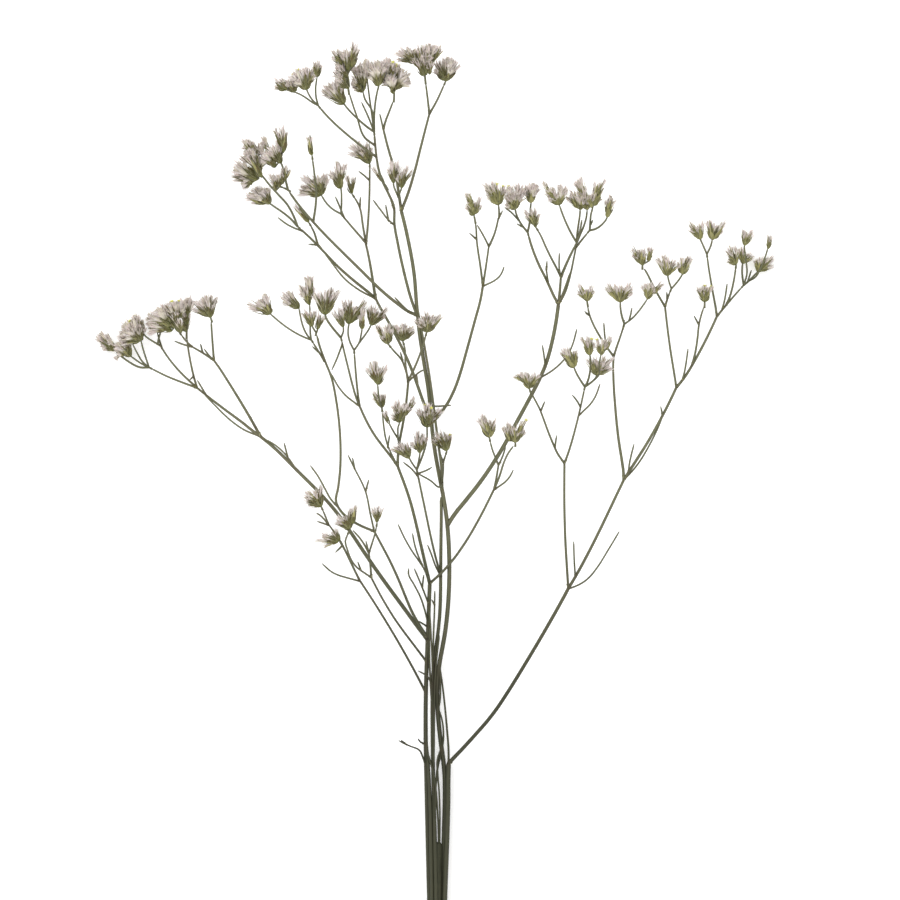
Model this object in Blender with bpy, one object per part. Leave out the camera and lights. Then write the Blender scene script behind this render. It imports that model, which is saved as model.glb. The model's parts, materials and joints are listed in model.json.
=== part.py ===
"""A dried flowering spray, lying down: one much branched stem and its heads of small spikelets.

The stem runs along +Y from its cut foot to the crown, +X is to the right and +Z is up. The points of
the branches are in millimetres: across, along from the foot and, where a third number is given, the
height over the surface that the spray lies on.
"""
import bmesh
import bpy
import numpy as np
from mathutils import Vector

MM = 0.001

# The spray is drawn with the foot's middle at zero, and its frame has the middle of the box there.
DRAWING_TO_FRAME = Vector((0.6, -171.9, -0.37))

# Branch diameters in millimetres, at the branch's start and at its tip.
MAIN = (1.9, 1.25)
SIDE = (1.1, 0.8)
TWIG = (0.85, 0.65)
FINE = (0.7, 0.6)
FOOT = (5.6, 3.4)

# A branch starts this far back inside the one it grows from, so that the two fuse.
TUCK = 0.8
# Above this diameter a branch has six sides, and below it four.
ROUND_FROM = 1.6
# A branch's solid leaves out the points that it passes this close to without them.
LINE_MISS = 0.7

# A spikelet is a narrow bud: bracts with pointed tips below, and a papery calyx with teeth on top.
SPIKELET_WIDTH = 2.7
NARROW = 0.7
WIDE = 1.15
SPIKELET_SIDES = 6
# The bud's corners take turns, as shares of its length and width: a bract's point, a calyx tooth.
BRACT_POINT = (0.66, 0.54)
CALYX_TOOTH = (1.0, 0.42)
CALYX_FLOOR = 0.78

# A head's stalk goes on from the twig that carries it, across a hairline gap.
HEAD_GAP = 0.42
STALK_LENGTH = 0.9
PEDICEL = (0.62, 0.62)
# A pedicel starts this deep inside the tip of its twig.
HEART_DEPTH = 0.25
# A twig goes on to just short of its spikelets' feet, if they are further off than the second value.
SHORT_OF_FEET = 0.9
LEAST_REACH = 1.2
# A spikelet whose foot is nearer the twig's tip than this grows straight from it.
SESSILE = 2.1
# How much of a spikelet's lean, its rise over the twig's tip, is at its own foot.
FOOT_LEAN = 0.4
# A pedicel goes this share of the spikelet's length into it.
PEDICEL_END = 0.2

# Points closer than this are one point, and edges sharper than this angle show as edges.
WELD = 0.0001
SHARP_ANGLE = 0.7


class Branch:
    """A round branch: its middle line, its diameters at both ends and the node it belongs to."""

    def __init__(self, line, thick, node):
        self.line = line
        self.thick = thick
        self.node = node
        self.spikelets = []

    def tip(self):
        return self.line[-1]

    def forward(self):
        return (self.line[-1] - self.line[-2]).normalized()


branches = []


def on_line(line, across, along):
    """The place on a branch's middle line that is nearest a spot, as seen from above."""
    spot = Vector((across, along))
    places = []
    for start, end in zip(line, line[1:]):
        run = end.xy - start.xy
        share = (spot - start.xy).dot(run) / run.length_squared
        places.append(start.lerp(end, min(1.0, max(0.0, share))))
    nearest = min(places, key=lambda place: (place.xy - spot).length)
    if (nearest - line[-1]).length < TUCK:
        nearest = line[-1].lerp(line[-2], min(0.5, TUCK / (line[-1] - line[-2]).length))
    return nearest


def with_heights(flat, known):
    """Turns flat points into a line in space. Heights between the known ones follow the length."""
    lengths = [0.0]
    for start, end in zip(flat, flat[1:]):
        lengths.append(lengths[-1] + (end - start).length)
    stations = [lengths[index] for index in known]
    heights = [known[index] for index in known]
    return [Vector((spot.x, spot.y, np.interp(length, stations, heights)))
            for spot, length in zip(flat, lengths)]


def grow(parent, thick, *points):
    """Adds a branch and gives it back. Its first point is put on the line of the one it grows from."""
    flat = [Vector(point[:2]) for point in points]
    known = {index: point[2] for index, point in enumerate(points) if len(point) == 3}
    if parent:
        start = on_line(parent.line, *flat[0])
        flat[0] = start.xy
        known[0] = start.z
    line = with_heights(flat, dict(sorted(known.items())))
    branches.append(Branch(line, thick, parent.node if parent else "stem"))
    return branches[-1]


def bunch(name, twig):
    """Starts a flower head of its own past a twig's tip: the stalk that its pedicels grow from."""
    start = twig.tip() + twig.forward() * HEAD_GAP
    branches.append(Branch([start, start + twig.forward() * STALK_LENGTH], TWIG, name))
    return branches[-1]


def florets(twig, *spikelets):
    """Adds spikelets at a twig's tip. Each is its foot, its tip, its lean and, if unlike, its size."""
    feet = [Vector(foot) for foot, *rest in spikelets]
    middle = sum(feet, Vector((0, 0))) / len(feet)
    reach = middle - twig.tip().xy
    if reach.length > LEAST_REACH:
        end = twig.tip().xy + reach * (1 - SHORT_OF_FEET / reach.length)
        twig.line.append(Vector((*end, twig.tip().z)))
    twig.spikelets.extend(spikelets)


def head(name, twig, *spikelets):
    """A flower head on one stalk."""
    florets(bunch(name, twig), *spikelets)


def foot_and_bundle():
    """The cut foot, where the strands run together, and the strands side by side above it."""
    grow(None, FOOT, (-0.2, 0, 2.9), (-0.1, 20, 2.9), (0.1, 39, 3.1), (0.3, 56, 3.4))
    outer = grow(None, (1.9, 1.45), (-1.7, 0, 2.4), (-2.3, 20), (-2.9, 39, 2.5), (-3.4, 60), (-3.7, 74),
                 (-4.0, 85, 3.6), (-4.1, 92), (-4.2, 100), (-4.1, 110), (-3.8, 120), (-3.4, 130),
                 (-3.0, 140), (-2.6, 150.6, 9.0))
    grow(None, (1.7, 1.2), (-1.0, 0, 4.2), (-1.5, 20), (-1.9, 39, 4.7), (-2.2, 60), (-2.6, 74),
         (-3.1, 84, 5.0), (-4.0, 93, 4.2))
    second = grow(None, (1.7, 1.15), (0.1, 0, 4.6), (-0.4, 39, 5.2), (-0.8, 60), (-1.3, 74),
                  (-1.5, 85, 4.6), (-1.7, 97), (-1.8, 110, 6.0), (-1.4, 120), (-0.7, 125.5), (0.2, 130),
                  (0.9, 136.5), (1.4, 145), (1.2, 152, 8.5), (1.4, 165), (1.6, 174), (1.5, 181, 13.2))
    main = grow(None, MAIN, (1.3, 0, 2.2), (1.8, 39, 2.6), (2.7, 60), (2.9, 74), (2.9, 80, 3.6),
                (2.4, 85), (1.5, 90.5), (0.9, 96), (0.2, 103), (-0.1, 110, 6.0), (0.2, 115.5), (0.8, 121),
                (1.8, 126), (2.9, 131), (3.9, 139.5), (4.5, 149, 10.0), (4.5, 158), (4.2, 166),
                (3.6, 173), (2.6, 180), (1.1, 187, 14.0), (-0.7, 197), (-2.0, 205), (-2.1, 212),
                (-3.0, 220), (-4.9, 230.4), (-6.6, 241), (-7.4, 250, 24.0), (-8.0, 262), (-10.0, 272),
                (-12.0, 281), (-13.0, 284.5, 31.5))
    right = grow(None, (2.0, 1.75), (1.9, 0, 3.9), (2.7, 39, 4.4), (3.7, 60), (4.1, 70), (3.9, 80),
                 (4.2, 85.3, 4.9))
    grow(main, FINE, (0.6, 90), (-0.1, 86, 5.9), (0.2, 80), (0.8, 75, 5.9), (1.3, 68), (1.5, 60, 5.0))
    grow(right, TWIG, (4.3, 84), (4.3, 89, 6.2), (3.6, 97), (2.8, 106), (1.9, 114), (0.9, 120, 6.9))
    beside = grow(main, (1.0, 0.8), (1.9, 183.5), (1.9, 190, 16.6), (0.4, 200), (-1.0, 212), (-2.2, 222),
                  (-4.2, 234), (-5.9, 243), (-7.2, 250, 24.3))
    grow(outer, FINE, (-4.2, 83), (-5.4, 87.4), (-6.0, 89.4), (-9.5, 90.8), (-12, 91.8), (-13.9, 93, 9.0))
    grow(second, FINE, (-1.8, 112.5), (-3.3, 116.4, 8.6), (-6.8, 118.2, 10.5))
    grow(second, FINE, (-1.4, 121), (-1.5, 127, 8.6), (-1.2, 133), (-0.9, 139), (-0.8, 147.2, 12.0))
    grow(outer, FINE, (-3.4, 135), (-4.6, 141), (-5.9, 145.3), (-8.2, 149.3), (-10.6, 153.4),
         (-10.2, 155.3, 17.0))
    grow(outer, FINE, (-3.1, 142), (-5.2, 148), (-6.8, 152), (-8.2, 155.2, 14.0))
    grow(main, FINE, (-2.1, 213.8), (0.9, 213.7, 22.0), (5.1, 214.1, 24.5))
    return outer, second, main, right, beside


def crown(main):
    """The top of the spray: three strands that fan out over the tip of the main one."""
    right = grow(main, SIDE, (-13, 284.5), (-10.5, 289), (-8, 297), (-6, 306), (-3.8, 314),
                 (-2.5, 319, 37))
    twig = grow(right, TWIG, (-2.5, 319), (-3.2, 323), (-4, 329, 40))
    head("crown_head_1", twig, ((-7.5, 336), (-15, 341.5), -3), ((-5, 332), (-7.3, 338.5), 3),
         ((-3.5, 334.5), (-5, 343.5), 0), ((-2.2, 335), (1, 342.7), 2))
    twig = grow(right, TWIG, (-2.5, 319), (0, 322.5), (2.7, 329, 35))
    head("crown_head_2", twig, ((2.8, 330.5), (0.9, 337), 2), ((3.2, 331), (3.6, 337.8), -2),
         ((4, 331), (8, 337.6), 1))
    middle = grow(main, SIDE, (-13, 284.5), (-13.8, 290), (-14.5, 297), (-16.5, 302), (-18, 308),
                  (-19.3, 313.3, 41))
    left = grow(main, SIDE, (-7.6, 246), (-9.5, 252), (-12, 262), (-14, 272), (-15.5, 279, 26),
                (-15.3, 286), (-17, 289), (-20.5, 296), (-21.5, 301), (-22, 306), (-22.4, 311, 36))
    grow(left, FINE, (-15.5, 279), (-17.2, 280), (-20, 284), (-23, 288, 21))
    twig = grow(left, TWIG, (-15.4, 284.5), (-16.4, 287.5), (-17.8, 291.5, 26.5))
    head("crown_head_3", twig, ((-19.2, 294.3), (-23.6, 300.4), -3, NARROW))
    fork = grow(middle, FINE, (-13.4, 286.5), (-13.8, 288.4, 39))
    stalk = bunch("crown_head_4", fork)
    florets(grow(stalk, FINE, (-14, 289), (-15, 291), (-15.6, 292.6, 40)),
            ((-16, 294), (-16.4, 301.5), 3), ((-14.7, 294.5), (-14, 302), -2, NARROW))
    florets(grow(stalk, FINE, (-14, 289), (-12.7, 291, 41)), ((-12.9, 292.6), (-13, 298.6), 2, NARROW),
            ((-12.1, 292.6), (-10.4, 300), -1, NARROW))
    side = grow(left, (0.85, 0.75), (-21.8, 303), (-26, 306), (-30, 309), (-40, 318), (-42, 320.7, 32))
    stalk = bunch("crown_head_5", side)
    florets(grow(stalk, FINE, (-42.6, 321.2), (-44.9, 322.5), (-47, 324.5), (-49.3, 325.8, 30)),
            ((-54, 327), (-58.7, 331.2), -1), ((-50.2, 326.4), (-53.3, 329.8), 3, NARROW))
    florets(grow(stalk, FINE, (-42.6, 321.2), (-45, 323.4), (-46.5, 326.6, 35)),
            ((-47.2, 328), (-50.4, 334.2), -2), ((-46.6, 328), (-46, 335.2), 2))
    florets(grow(stalk, FINE, (-42.6, 321.2), (-43.5, 324), (-43.6, 328), (-42.8, 331.4, 39)),
            ((-42.7, 332.6), (-42, 337.6), 0, NARROW))
    column = grow(left, TWIG, (-22.1, 307), (-26, 309.5, 38), (-28.5, 317), (-30, 321), (-31.2, 325, 47))
    head("crown_head_6", column, ((-32.5, 328), (-36.2, 334.2), -3), ((-33, 334), (-37.2, 340.6), 4),
         ((-31.7, 333), (-32.5, 340), 0), ((-30.8, 334.5), (-28.8, 343.5), 5))
    stalk = bunch("crown_head_7", left)
    florets(grow(stalk, TWIG, (-22.5, 311.8), (-25, 313.6), (-28, 316), (-33, 321.6, 29)),
            ((-33.6, 322.6), (-41.5, 327.5), -4), ((-33.6, 323), (-39, 330), 1),
            ((-33.4, 323.2), (-35.6, 329.6), -2))
    florets(grow(stalk, TWIG, (-22.5, 311.8), (-23.2, 320, 40), (-26, 323.2), (-26.4, 326, 42)),
            ((-26.6, 328.4), (-29.2, 335.2), -2), ((-27, 328), (-26.8, 336.6), 2))
    florets(grow(stalk, FINE, (-22.5, 311.8), (-23.5, 320, 34), (-24.5, 326), (-25, 331.2, 33)),
            ((-25, 332.6), (-25.5, 338.8), -1))
    florets(grow(stalk, TWIG, (-22.5, 311.8), (-22.4, 318, 43), (-21.8, 324), (-20.9, 327, 48)),
            ((-20.6, 328.5), (-23.2, 335.2), -2), ((-20, 329), (-19, 336.4), 3))
    pale = grow(middle, TWIG, (-19.3, 313.3), (-18.4, 316), (-17, 318.5), (-15.6, 322.4, 43))
    head("crown_head_8", pale, ((-17, 330), (-17, 338.2), 0, WIDE), ((-15.6, 325), (-16.1, 332), 5),
         ((-14.6, 328.6), (-14, 336.2), 2), ((-13.6, 327), (-10, 333.2), -3))


def shoulder(main, beside):
    """The upper left spray: two strands that cross, with a broad cluster of heads at the end."""
    upper = grow(main, (1.2, 0.8), (-7.2, 246.5), (-9.8, 247.2), (-14, 250.5), (-19.8, 254.8),
                 (-27, 262.5), (-34, 269), (-40, 275), (-44.5, 280, 24), (-50, 286), (-53, 290.6, 26.5))
    grow(upper, FINE, (-9.3, 247), (-12.3, 249.6, 26), (-15.2, 252.8, 28))
    twig = grow(upper, TWIG, (-44.5, 280), (-43.6, 285), (-43, 290), (-44, 297), (-44.6, 302.4, 33))
    head("shoulder_head_1", twig, ((-44.7, 304), (-46, 311), 1, WIDE))
    lower = grow(main, (1.2, 0.9), (-2.1, 208), (-4.1, 213, 17.5), (-5.2, 216), (-6.8, 220.6),
                 (-8.9, 226.7), (-11.5, 232.7), (-14.8, 239.3), (-18.4, 246), (-21.2, 250.4),
                 (-22.5, 253.4, 15.5))
    left = grow(lower, SIDE, (-22.5, 253.4), (-24, 254.4), (-30, 259), (-36, 264), (-42, 271),
                (-46, 274.8), (-49.6, 278, 14))
    grow(lower, FINE, (-22, 252.6), (-28, 255.5, 17.5), (-33, 259), (-38, 265.5), (-43, 272.5, 15.6))
    grow(left, FINE, (-48.4, 277), (-51.5, 278), (-54.5, 279.4), (-57.5, 282, 10))
    twig = grow(left, TWIG, (-43, 272), (-44, 276.5, 17), (-45.6, 279, 19))
    head("shoulder_head_2", twig, ((-46.8, 280), (-51.5, 286.6), 0))
    stalk = bunch("shoulder_head_3", left)
    florets(grow(stalk, TWIG, (-50.2, 278.6), (-52.8, 281.8), (-56, 284), (-59, 286, 12)),
            ((-61, 287.2), (-69, 290.5), -4), ((-60.8, 287.6), (-66, 292), 1))
    florets(grow(stalk, TWIG, (-50.2, 278.6), (-51.8, 283), (-54, 287), (-57, 289.6), (-60, 293, 19)),
            ((-63, 296), (-68, 303.6), 3, WIDE), ((-64, 296), (-72.5, 301.6), -2),
            ((-65, 294.6), (-74.4, 297.2), -5), ((-61.2, 296.4), (-63.4, 303), 0),
            ((-63.8, 303.6), (-66.8, 309.2), -3), ((-65.8, 304.6), (-70.2, 310), 2),
            ((-60.4, 304.6), (-62.8, 311.6), 3))
    stalk = bunch("shoulder_head_4", upper)
    florets(grow(stalk, TWIG, (-53.4, 291.4), (-55, 297), (-55.5, 300.5, 28)),
            ((-55.4, 304.4), (-55, 314), 1, WIDE), ((-56.8, 303.4), (-57.6, 309.8), -3),
            ((-57, 301.4), (-60, 307.4), 3))
    florets(stalk, ((-54.6, 294.4), (-53.7, 300.6), 7, NARROW), ((-57.2, 292.6), (-60.2, 297), 6, NARROW))
    rise = grow(lower, SIDE, (-22.5, 253.4), (-22.9, 257), (-23.5, 262), (-25, 270), (-26, 273.6, 19))
    fan = grow(rise, TWIG, (-26, 273.6), (-30, 277.5), (-34, 282.3, 21))
    stalk = bunch("shoulder_head_5", fan)
    florets(grow(stalk, FINE, (-34.6, 282.9), (-37.8, 284.5), (-40.6, 287.6, 19)),
            ((-43.4, 289.6), (-50.2, 291.2), -3), ((-42.4, 290.8), (-49, 296.2), 1),
            ((-41.8, 291.6), (-44.2, 297.2), 4), ((-41, 291.2), (-40.4, 297.4), -1))
    florets(grow(stalk, FINE, (-34.6, 282.9), (-34.2, 287), (-34.4, 291.4, 22)),
            ((-34.8, 293), (-38.6, 298.4), -2), ((-34.6, 293.2), (-35.9, 302), 2))
    twig = grow(rise, TWIG, (-25.6, 272), (-26.6, 278), (-28, 286.6), (-30, 289.4, 15))
    head("shoulder_head_6", twig, ((-31, 291), (-32.6, 297.4), -1))
    last = grow(rise, TWIG, (-25.6, 272), (-24.7, 280), (-24.2, 290), (-24.2, 300, 21))
    head("shoulder_head_7", last, ((-25, 302), (-31.6, 308.4), -4), ((-24.6, 302.4), (-29, 310), 1),
         ((-24.4, 302.4), (-25.4, 309), 4))


def left_spray(outer):
    """The long strand to the left, which bends down until its last heads touch the surface."""
    strand = grow(outer, (1.5, 1.15), (-3.4, 129.5), (-6, 132.6), (-10.6, 139), (-15, 145),
                  (-19.2, 150.5), (-25.4, 159.5), (-31.6, 168.8), (-36.4, 176, 8.0), (-41.6, 181.8),
                  (-50.1, 189.9), (-59.7, 199.9), (-64.5, 203.4, 8.5))
    grow(strand, FINE, (-50.6, 190.6), (-52.9, 194, 9.9), (-55.2, 197.3), (-59.4, 200.6, 9.7),
         (-62.5, 202, 8.6))
    up = grow(strand, SIDE, (-64.5, 203.4), (-66, 207), (-70, 214), (-75, 222), (-79, 228.5),
              (-81, 231, 14))
    twig = grow(up, TWIG, (-81, 231), (-81, 237.5), (-81.3, 244.2, 20))
    head("left_head_1", twig, ((-81.6, 246), (-81.5, 254.2), 2), ((-82.6, 246), (-88, 251.8), -2))
    bow = grow(up, TWIG, (-81, 231), (-85, 233.5), (-89, 235.6, 14))
    grow(bow, FINE, (-88.2, 235.2), (-92, 236), (-94.7, 237.3, 13))
    twig = grow(bow, FINE, (-89, 235.6), (-90.8, 237.2), (-92.4, 239.8, 16))
    head("left_head_2", twig, ((-93, 241), (-97.6, 246.6), -2), ((-93.6, 242), (-95, 248), 2, NARROW),
         ((-94.6, 245.6), (-98.6, 250.8), 3, NARROW), ((-93, 245.6), (-95, 252.2), 4, NARROW))
    reach = grow(strand, SIDE, (-64.5, 203.4), (-66.6, 204.6), (-70, 208), (-77, 212.5), (-83, 217.5),
                 (-87.5, 221, 6.5))
    grow(strand, FINE, (-63.6, 202.8), (-70, 205.2, 7.0), (-75, 208.6), (-80, 213.8, 8.2),
         (-84.4, 218.4, 7.4))
    twig = grow(reach, TWIG, (-87.5, 221), (-88.2, 225), (-89, 229), (-90, 234.5), (-90.4, 238.4, 10))
    head("left_head_3", twig, ((-90.5, 240.6), (-91.2, 248), -1),
         ((-90, 245.6), (-89.7, 253.6), 2, NARROW))
    far = grow(reach, TWIG, (-87.5, 221), (-92, 222.4), (-98, 224.5), (-103.5, 227.5, 5.0))
    twig = grow(reach, TWIG, (-87.5, 221), (-92, 225), (-94.5, 228), (-98, 232), (-100.4, 236.4, 8.5))
    head("left_head_4", twig, ((-99.4, 240), (-104.8, 243.4), -3), ((-99.4, 243), (-104, 247.6), 2))
    stalk = bunch("left_head_5", far)
    florets(grow(stalk, FINE, (-104.3, 227.9), (-105.6, 232), (-106.6, 235.4, 8.5)),
            ((-107.5, 236.8), (-116, 240.6), 0), ((-107.8, 238.4), (-113, 244.2), 4),
            ((-107.2, 240.6), (-108.6, 248), 1))
    florets(grow(stalk, FINE, (-104.3, 227.9), (-107, 229), (-109.6, 231, 4.4)),
            ((-111, 232.3), (-117, 235), 1.5), ((-111, 232.8), (-114.6, 238.6), 2.5, NARROW))
    florets(grow(stalk, TWIG, (-104.3, 227.9), (-107.5, 227.6), (-111.5, 229.6), (-114.6, 232, 2.6)),
            ((-117.4, 234.6), (-123.8, 240.8), 0.4), ((-117, 233.2), (-122.2, 236), -1.2))


def low_left(outer):
    """The short sprays low on the left: two side strands and the foot of the strand inside them."""
    inner = grow(outer, SIDE, (-3.4, 130), (-7.8, 136.8, 10.0), (-9.2, 139.8), (-11.6, 145.3),
                 (-14, 151.9), (-17.1, 158.4), (-19.9, 163.6), (-23, 169.4, 18))
    grow(inner, FINE, (-23, 169.4), (-24, 174.5), (-25.7, 184), (-27.4, 187), (-29.2, 190.4),
         (-31.9, 196.1, 27))
    outside = grow(outer, (0.9, 0.8), (-4.1, 110.2), (-8, 118), (-14, 128.8), (-19.9, 138.4),
                   (-23.7, 144.6), (-28.5, 151.8, 12.5))
    grow(outside, FINE, (-27.6, 150.6), (-32.3, 151.9), (-35, 152.4), (-38.1, 153.6), (-41.6, 157, 9))
    twig = grow(outside, TWIG, (-28.5, 151.8), (-30.9, 156.7), (-33, 161.6), (-34.6, 164.2, 13.5))
    head("low_head_1", twig, ((-36.2, 165.2), (-44.4, 165.3), -3, NARROW),
         ((-35.8, 165.6), (-42, 167.8), 1, NARROW))
    dead = grow(outside, FINE, (-28.5, 151.8), (-31.6, 158.6, 10.5), (-35.6, 166.6, 9.4), (-38.6, 170.1),
                (-39.7, 171.9, 10.4))
    twig = grow(dead, FINE, (-39.7, 171.9), (-40.4, 174.4), (-41.4, 176.6, 12.5))
    head("low_head_2", twig, ((-42.2, 178.2), (-47.2, 183.8), 1),
         ((-43, 177.8), (-48.2, 180.4), -2, NARROW), ((-42, 179), (-42.3, 185.4), 3))
    other = grow(outer, (0.85, 0.75), (-3.9, 121.3), (-8, 127), (-12, 132.4), (-15.4, 136.8),
                 (-19.9, 144.6, 14.6), (-24, 152.7, 20))
    side = grow(other, FINE, (-24, 152.7), (-26.1, 153.8), (-28.8, 155.4), (-30.5, 157.2), (-32.4, 162.4),
                (-33.3, 165, 18.6), (-32, 168, 19.6))
    head("low_head_3", side, ((-31.6, 170), (-36.9, 172.4), -1), ((-31, 170.6), (-35.8, 174.8), 2),
         ((-30.3, 171.2), (-29.3, 178.6), 3))
    rise = grow(other, TWIG, (-24, 152.7), (-23.8, 156.4), (-24.6, 161.6, 23.4))
    grow(rise, FINE, (-24.6, 161.6), (-26.1, 164.3), (-28.1, 167), (-30.2, 169.1, 25.4))
    twig = grow(rise, FINE, (-24.6, 161.6), (-23.2, 165), (-22.1, 168), (-21.7, 170.8, 25))
    head("low_head_4", twig, ((-21.8, 172.2), (-23.1, 177.8), -1, NARROW),
         ((-21.5, 172.2), (-21.1, 178.2), 2, NARROW))
    return inner


def inner_left(inner, rising):
    """The middle left spray: a strand from the low sprays and one that comes off the centre."""
    strand = grow(inner, (0.95, 0.8), (-23, 169.4), (-28.1, 170.8), (-31.6, 172.9), (-35, 176, 19),
                  (-36.6, 179), (-35.4, 184.6), (-34.8, 190.5), (-34.6, 197), (-34.8, 205), (-36, 215.3),
                  (-37.8, 224.5), (-40.6, 230.2), (-42.7, 236.5), (-43.2, 239.2, 22))
    grow(strand, FINE, (-36.2, 177.6), (-38.5, 180.1), (-40.2, 183.8), (-42.9, 189.1), (-45.7, 192.4, 15))
    stalk = bunch("inner_head_1", strand)
    florets(grow(stalk, FINE, (-43.4, 240), (-44.6, 241.8, 23)), ((-45.4, 243.4), (-48.1, 248.2), -2),
            ((-45, 243.4), (-45.2, 248.2), 2, NARROW))
    florets(stalk, ((-42.3, 242.2), (-42.4, 247.2), -2))
    low = grow(strand, TWIG, (-40.4, 229.9), (-42, 232.5), (-43.4, 234.6), (-44.9, 237, 17))
    stalk = bunch("inner_head_2", low)
    florets(grow(stalk, FINE, (-45.4, 237.6), (-48.2, 238.7), (-50.7, 240), (-53.3, 241.6),
            (-55.8, 243.3), (-58.9, 246, 12)), ((-60.3, 248), (-62.4, 254.8), 2, WIDE),
            ((-61.6, 247.6), (-69, 250.6), -3))
    florets(grow(stalk, FINE, (-45.4, 237.6), (-46.8, 239), (-48.2, 241.8), (-49, 244.6),
            (-49.4, 247, 15)), ((-50.2, 249.8), (-56.5, 254.2), -2), ((-49.7, 250.4), (-53.4, 255.4), 2))
    florets(grow(stalk, FINE, (-45.4, 237.6), (-45.8, 239.4), (-45.7, 243), (-45.7, 247.4, 15.5)),
            ((-46.2, 249.5), (-48, 257.2), -1), ((-46.4, 251.6), (-49.6, 257.6), -4, NARROW),
            ((-45.5, 253), (-45.8, 261), 1))
    front = grow(rising, (0.96, 0.85), (-14.4, 193), (-15.9, 194.9), (-18.1, 197.6), (-20.3, 200.4),
                 (-22.8, 203.7), (-25, 207.5), (-28.1, 214.5, 31))
    grow(front, FINE, (-28, 214), (-30.1, 215.4), (-32.9, 217.4), (-35.3, 220.2), (-38, 225.5, 34))
    left = grow(front, TWIG, (-28.1, 214.5), (-29.2, 217), (-30.2, 221), (-31.7, 227), (-33, 232),
                (-34.2, 237.4, 32))
    grow(left, FINE, (-33.8, 236), (-34.8, 233.5, 34), (-35.8, 230.4), (-37.6, 226.6, 37))
    stalk = bunch("inner_head_3", left)
    florets(grow(stalk, (0.9, 0.8), (-34.6, 238.2), (-36, 240), (-38.4, 243), (-40, 245.4, 33)),
            ((-41, 247.2), (-44.4, 254.8), -2), ((-40.2, 247.4), (-39.2, 256.2), 3),
            ((-39.4, 248), (-34.6, 256.2), 0))
    florets(grow(stalk, FINE, (-34.6, 238.2), (-33.3, 241.4, 36)),
            ((-34.6, 242.8), (-37.4, 248), 1, NARROW), ((-33.2, 243), (-34.4, 248.2), 4, NARROW))
    right = grow(front, TWIG, (-28.1, 214.5), (-28.7, 220), (-29.2, 226.5), (-29.7, 233, 27))
    stalk = bunch("inner_head_4", right)
    florets(grow(stalk, FINE, (-29.8, 233.8), (-31.4, 236.4), (-32.2, 239.8), (-31.8, 242.4, 27.4)),
            ((-31.7, 244.2), (-33.4, 251.8), -3), ((-31.4, 244.2), (-30.8, 252.4), 1),
            ((-30.8, 244.4), (-24.8, 252.4), -1))
    fork = grow(stalk, FINE, (-29.8, 233.8), (-27.9, 236.2, 27), (-27.2, 239.3), (-26.9, 240.9, 31))
    florets(fork, ((-26.9, 242.2), (-26.5, 249), 3))
    florets(grow(fork, FINE, (-27.8, 236.6), (-26.7, 238.2, 26), (-25, 240.4), (-24.2, 241.8, 25)),
            ((-24, 243.4), (-24.2, 249.8), -3, NARROW), ((-23.2, 243.8), (-21.5, 249.8), 2),
            ((-22.8, 244.2), (-17.8, 249), -2))


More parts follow.
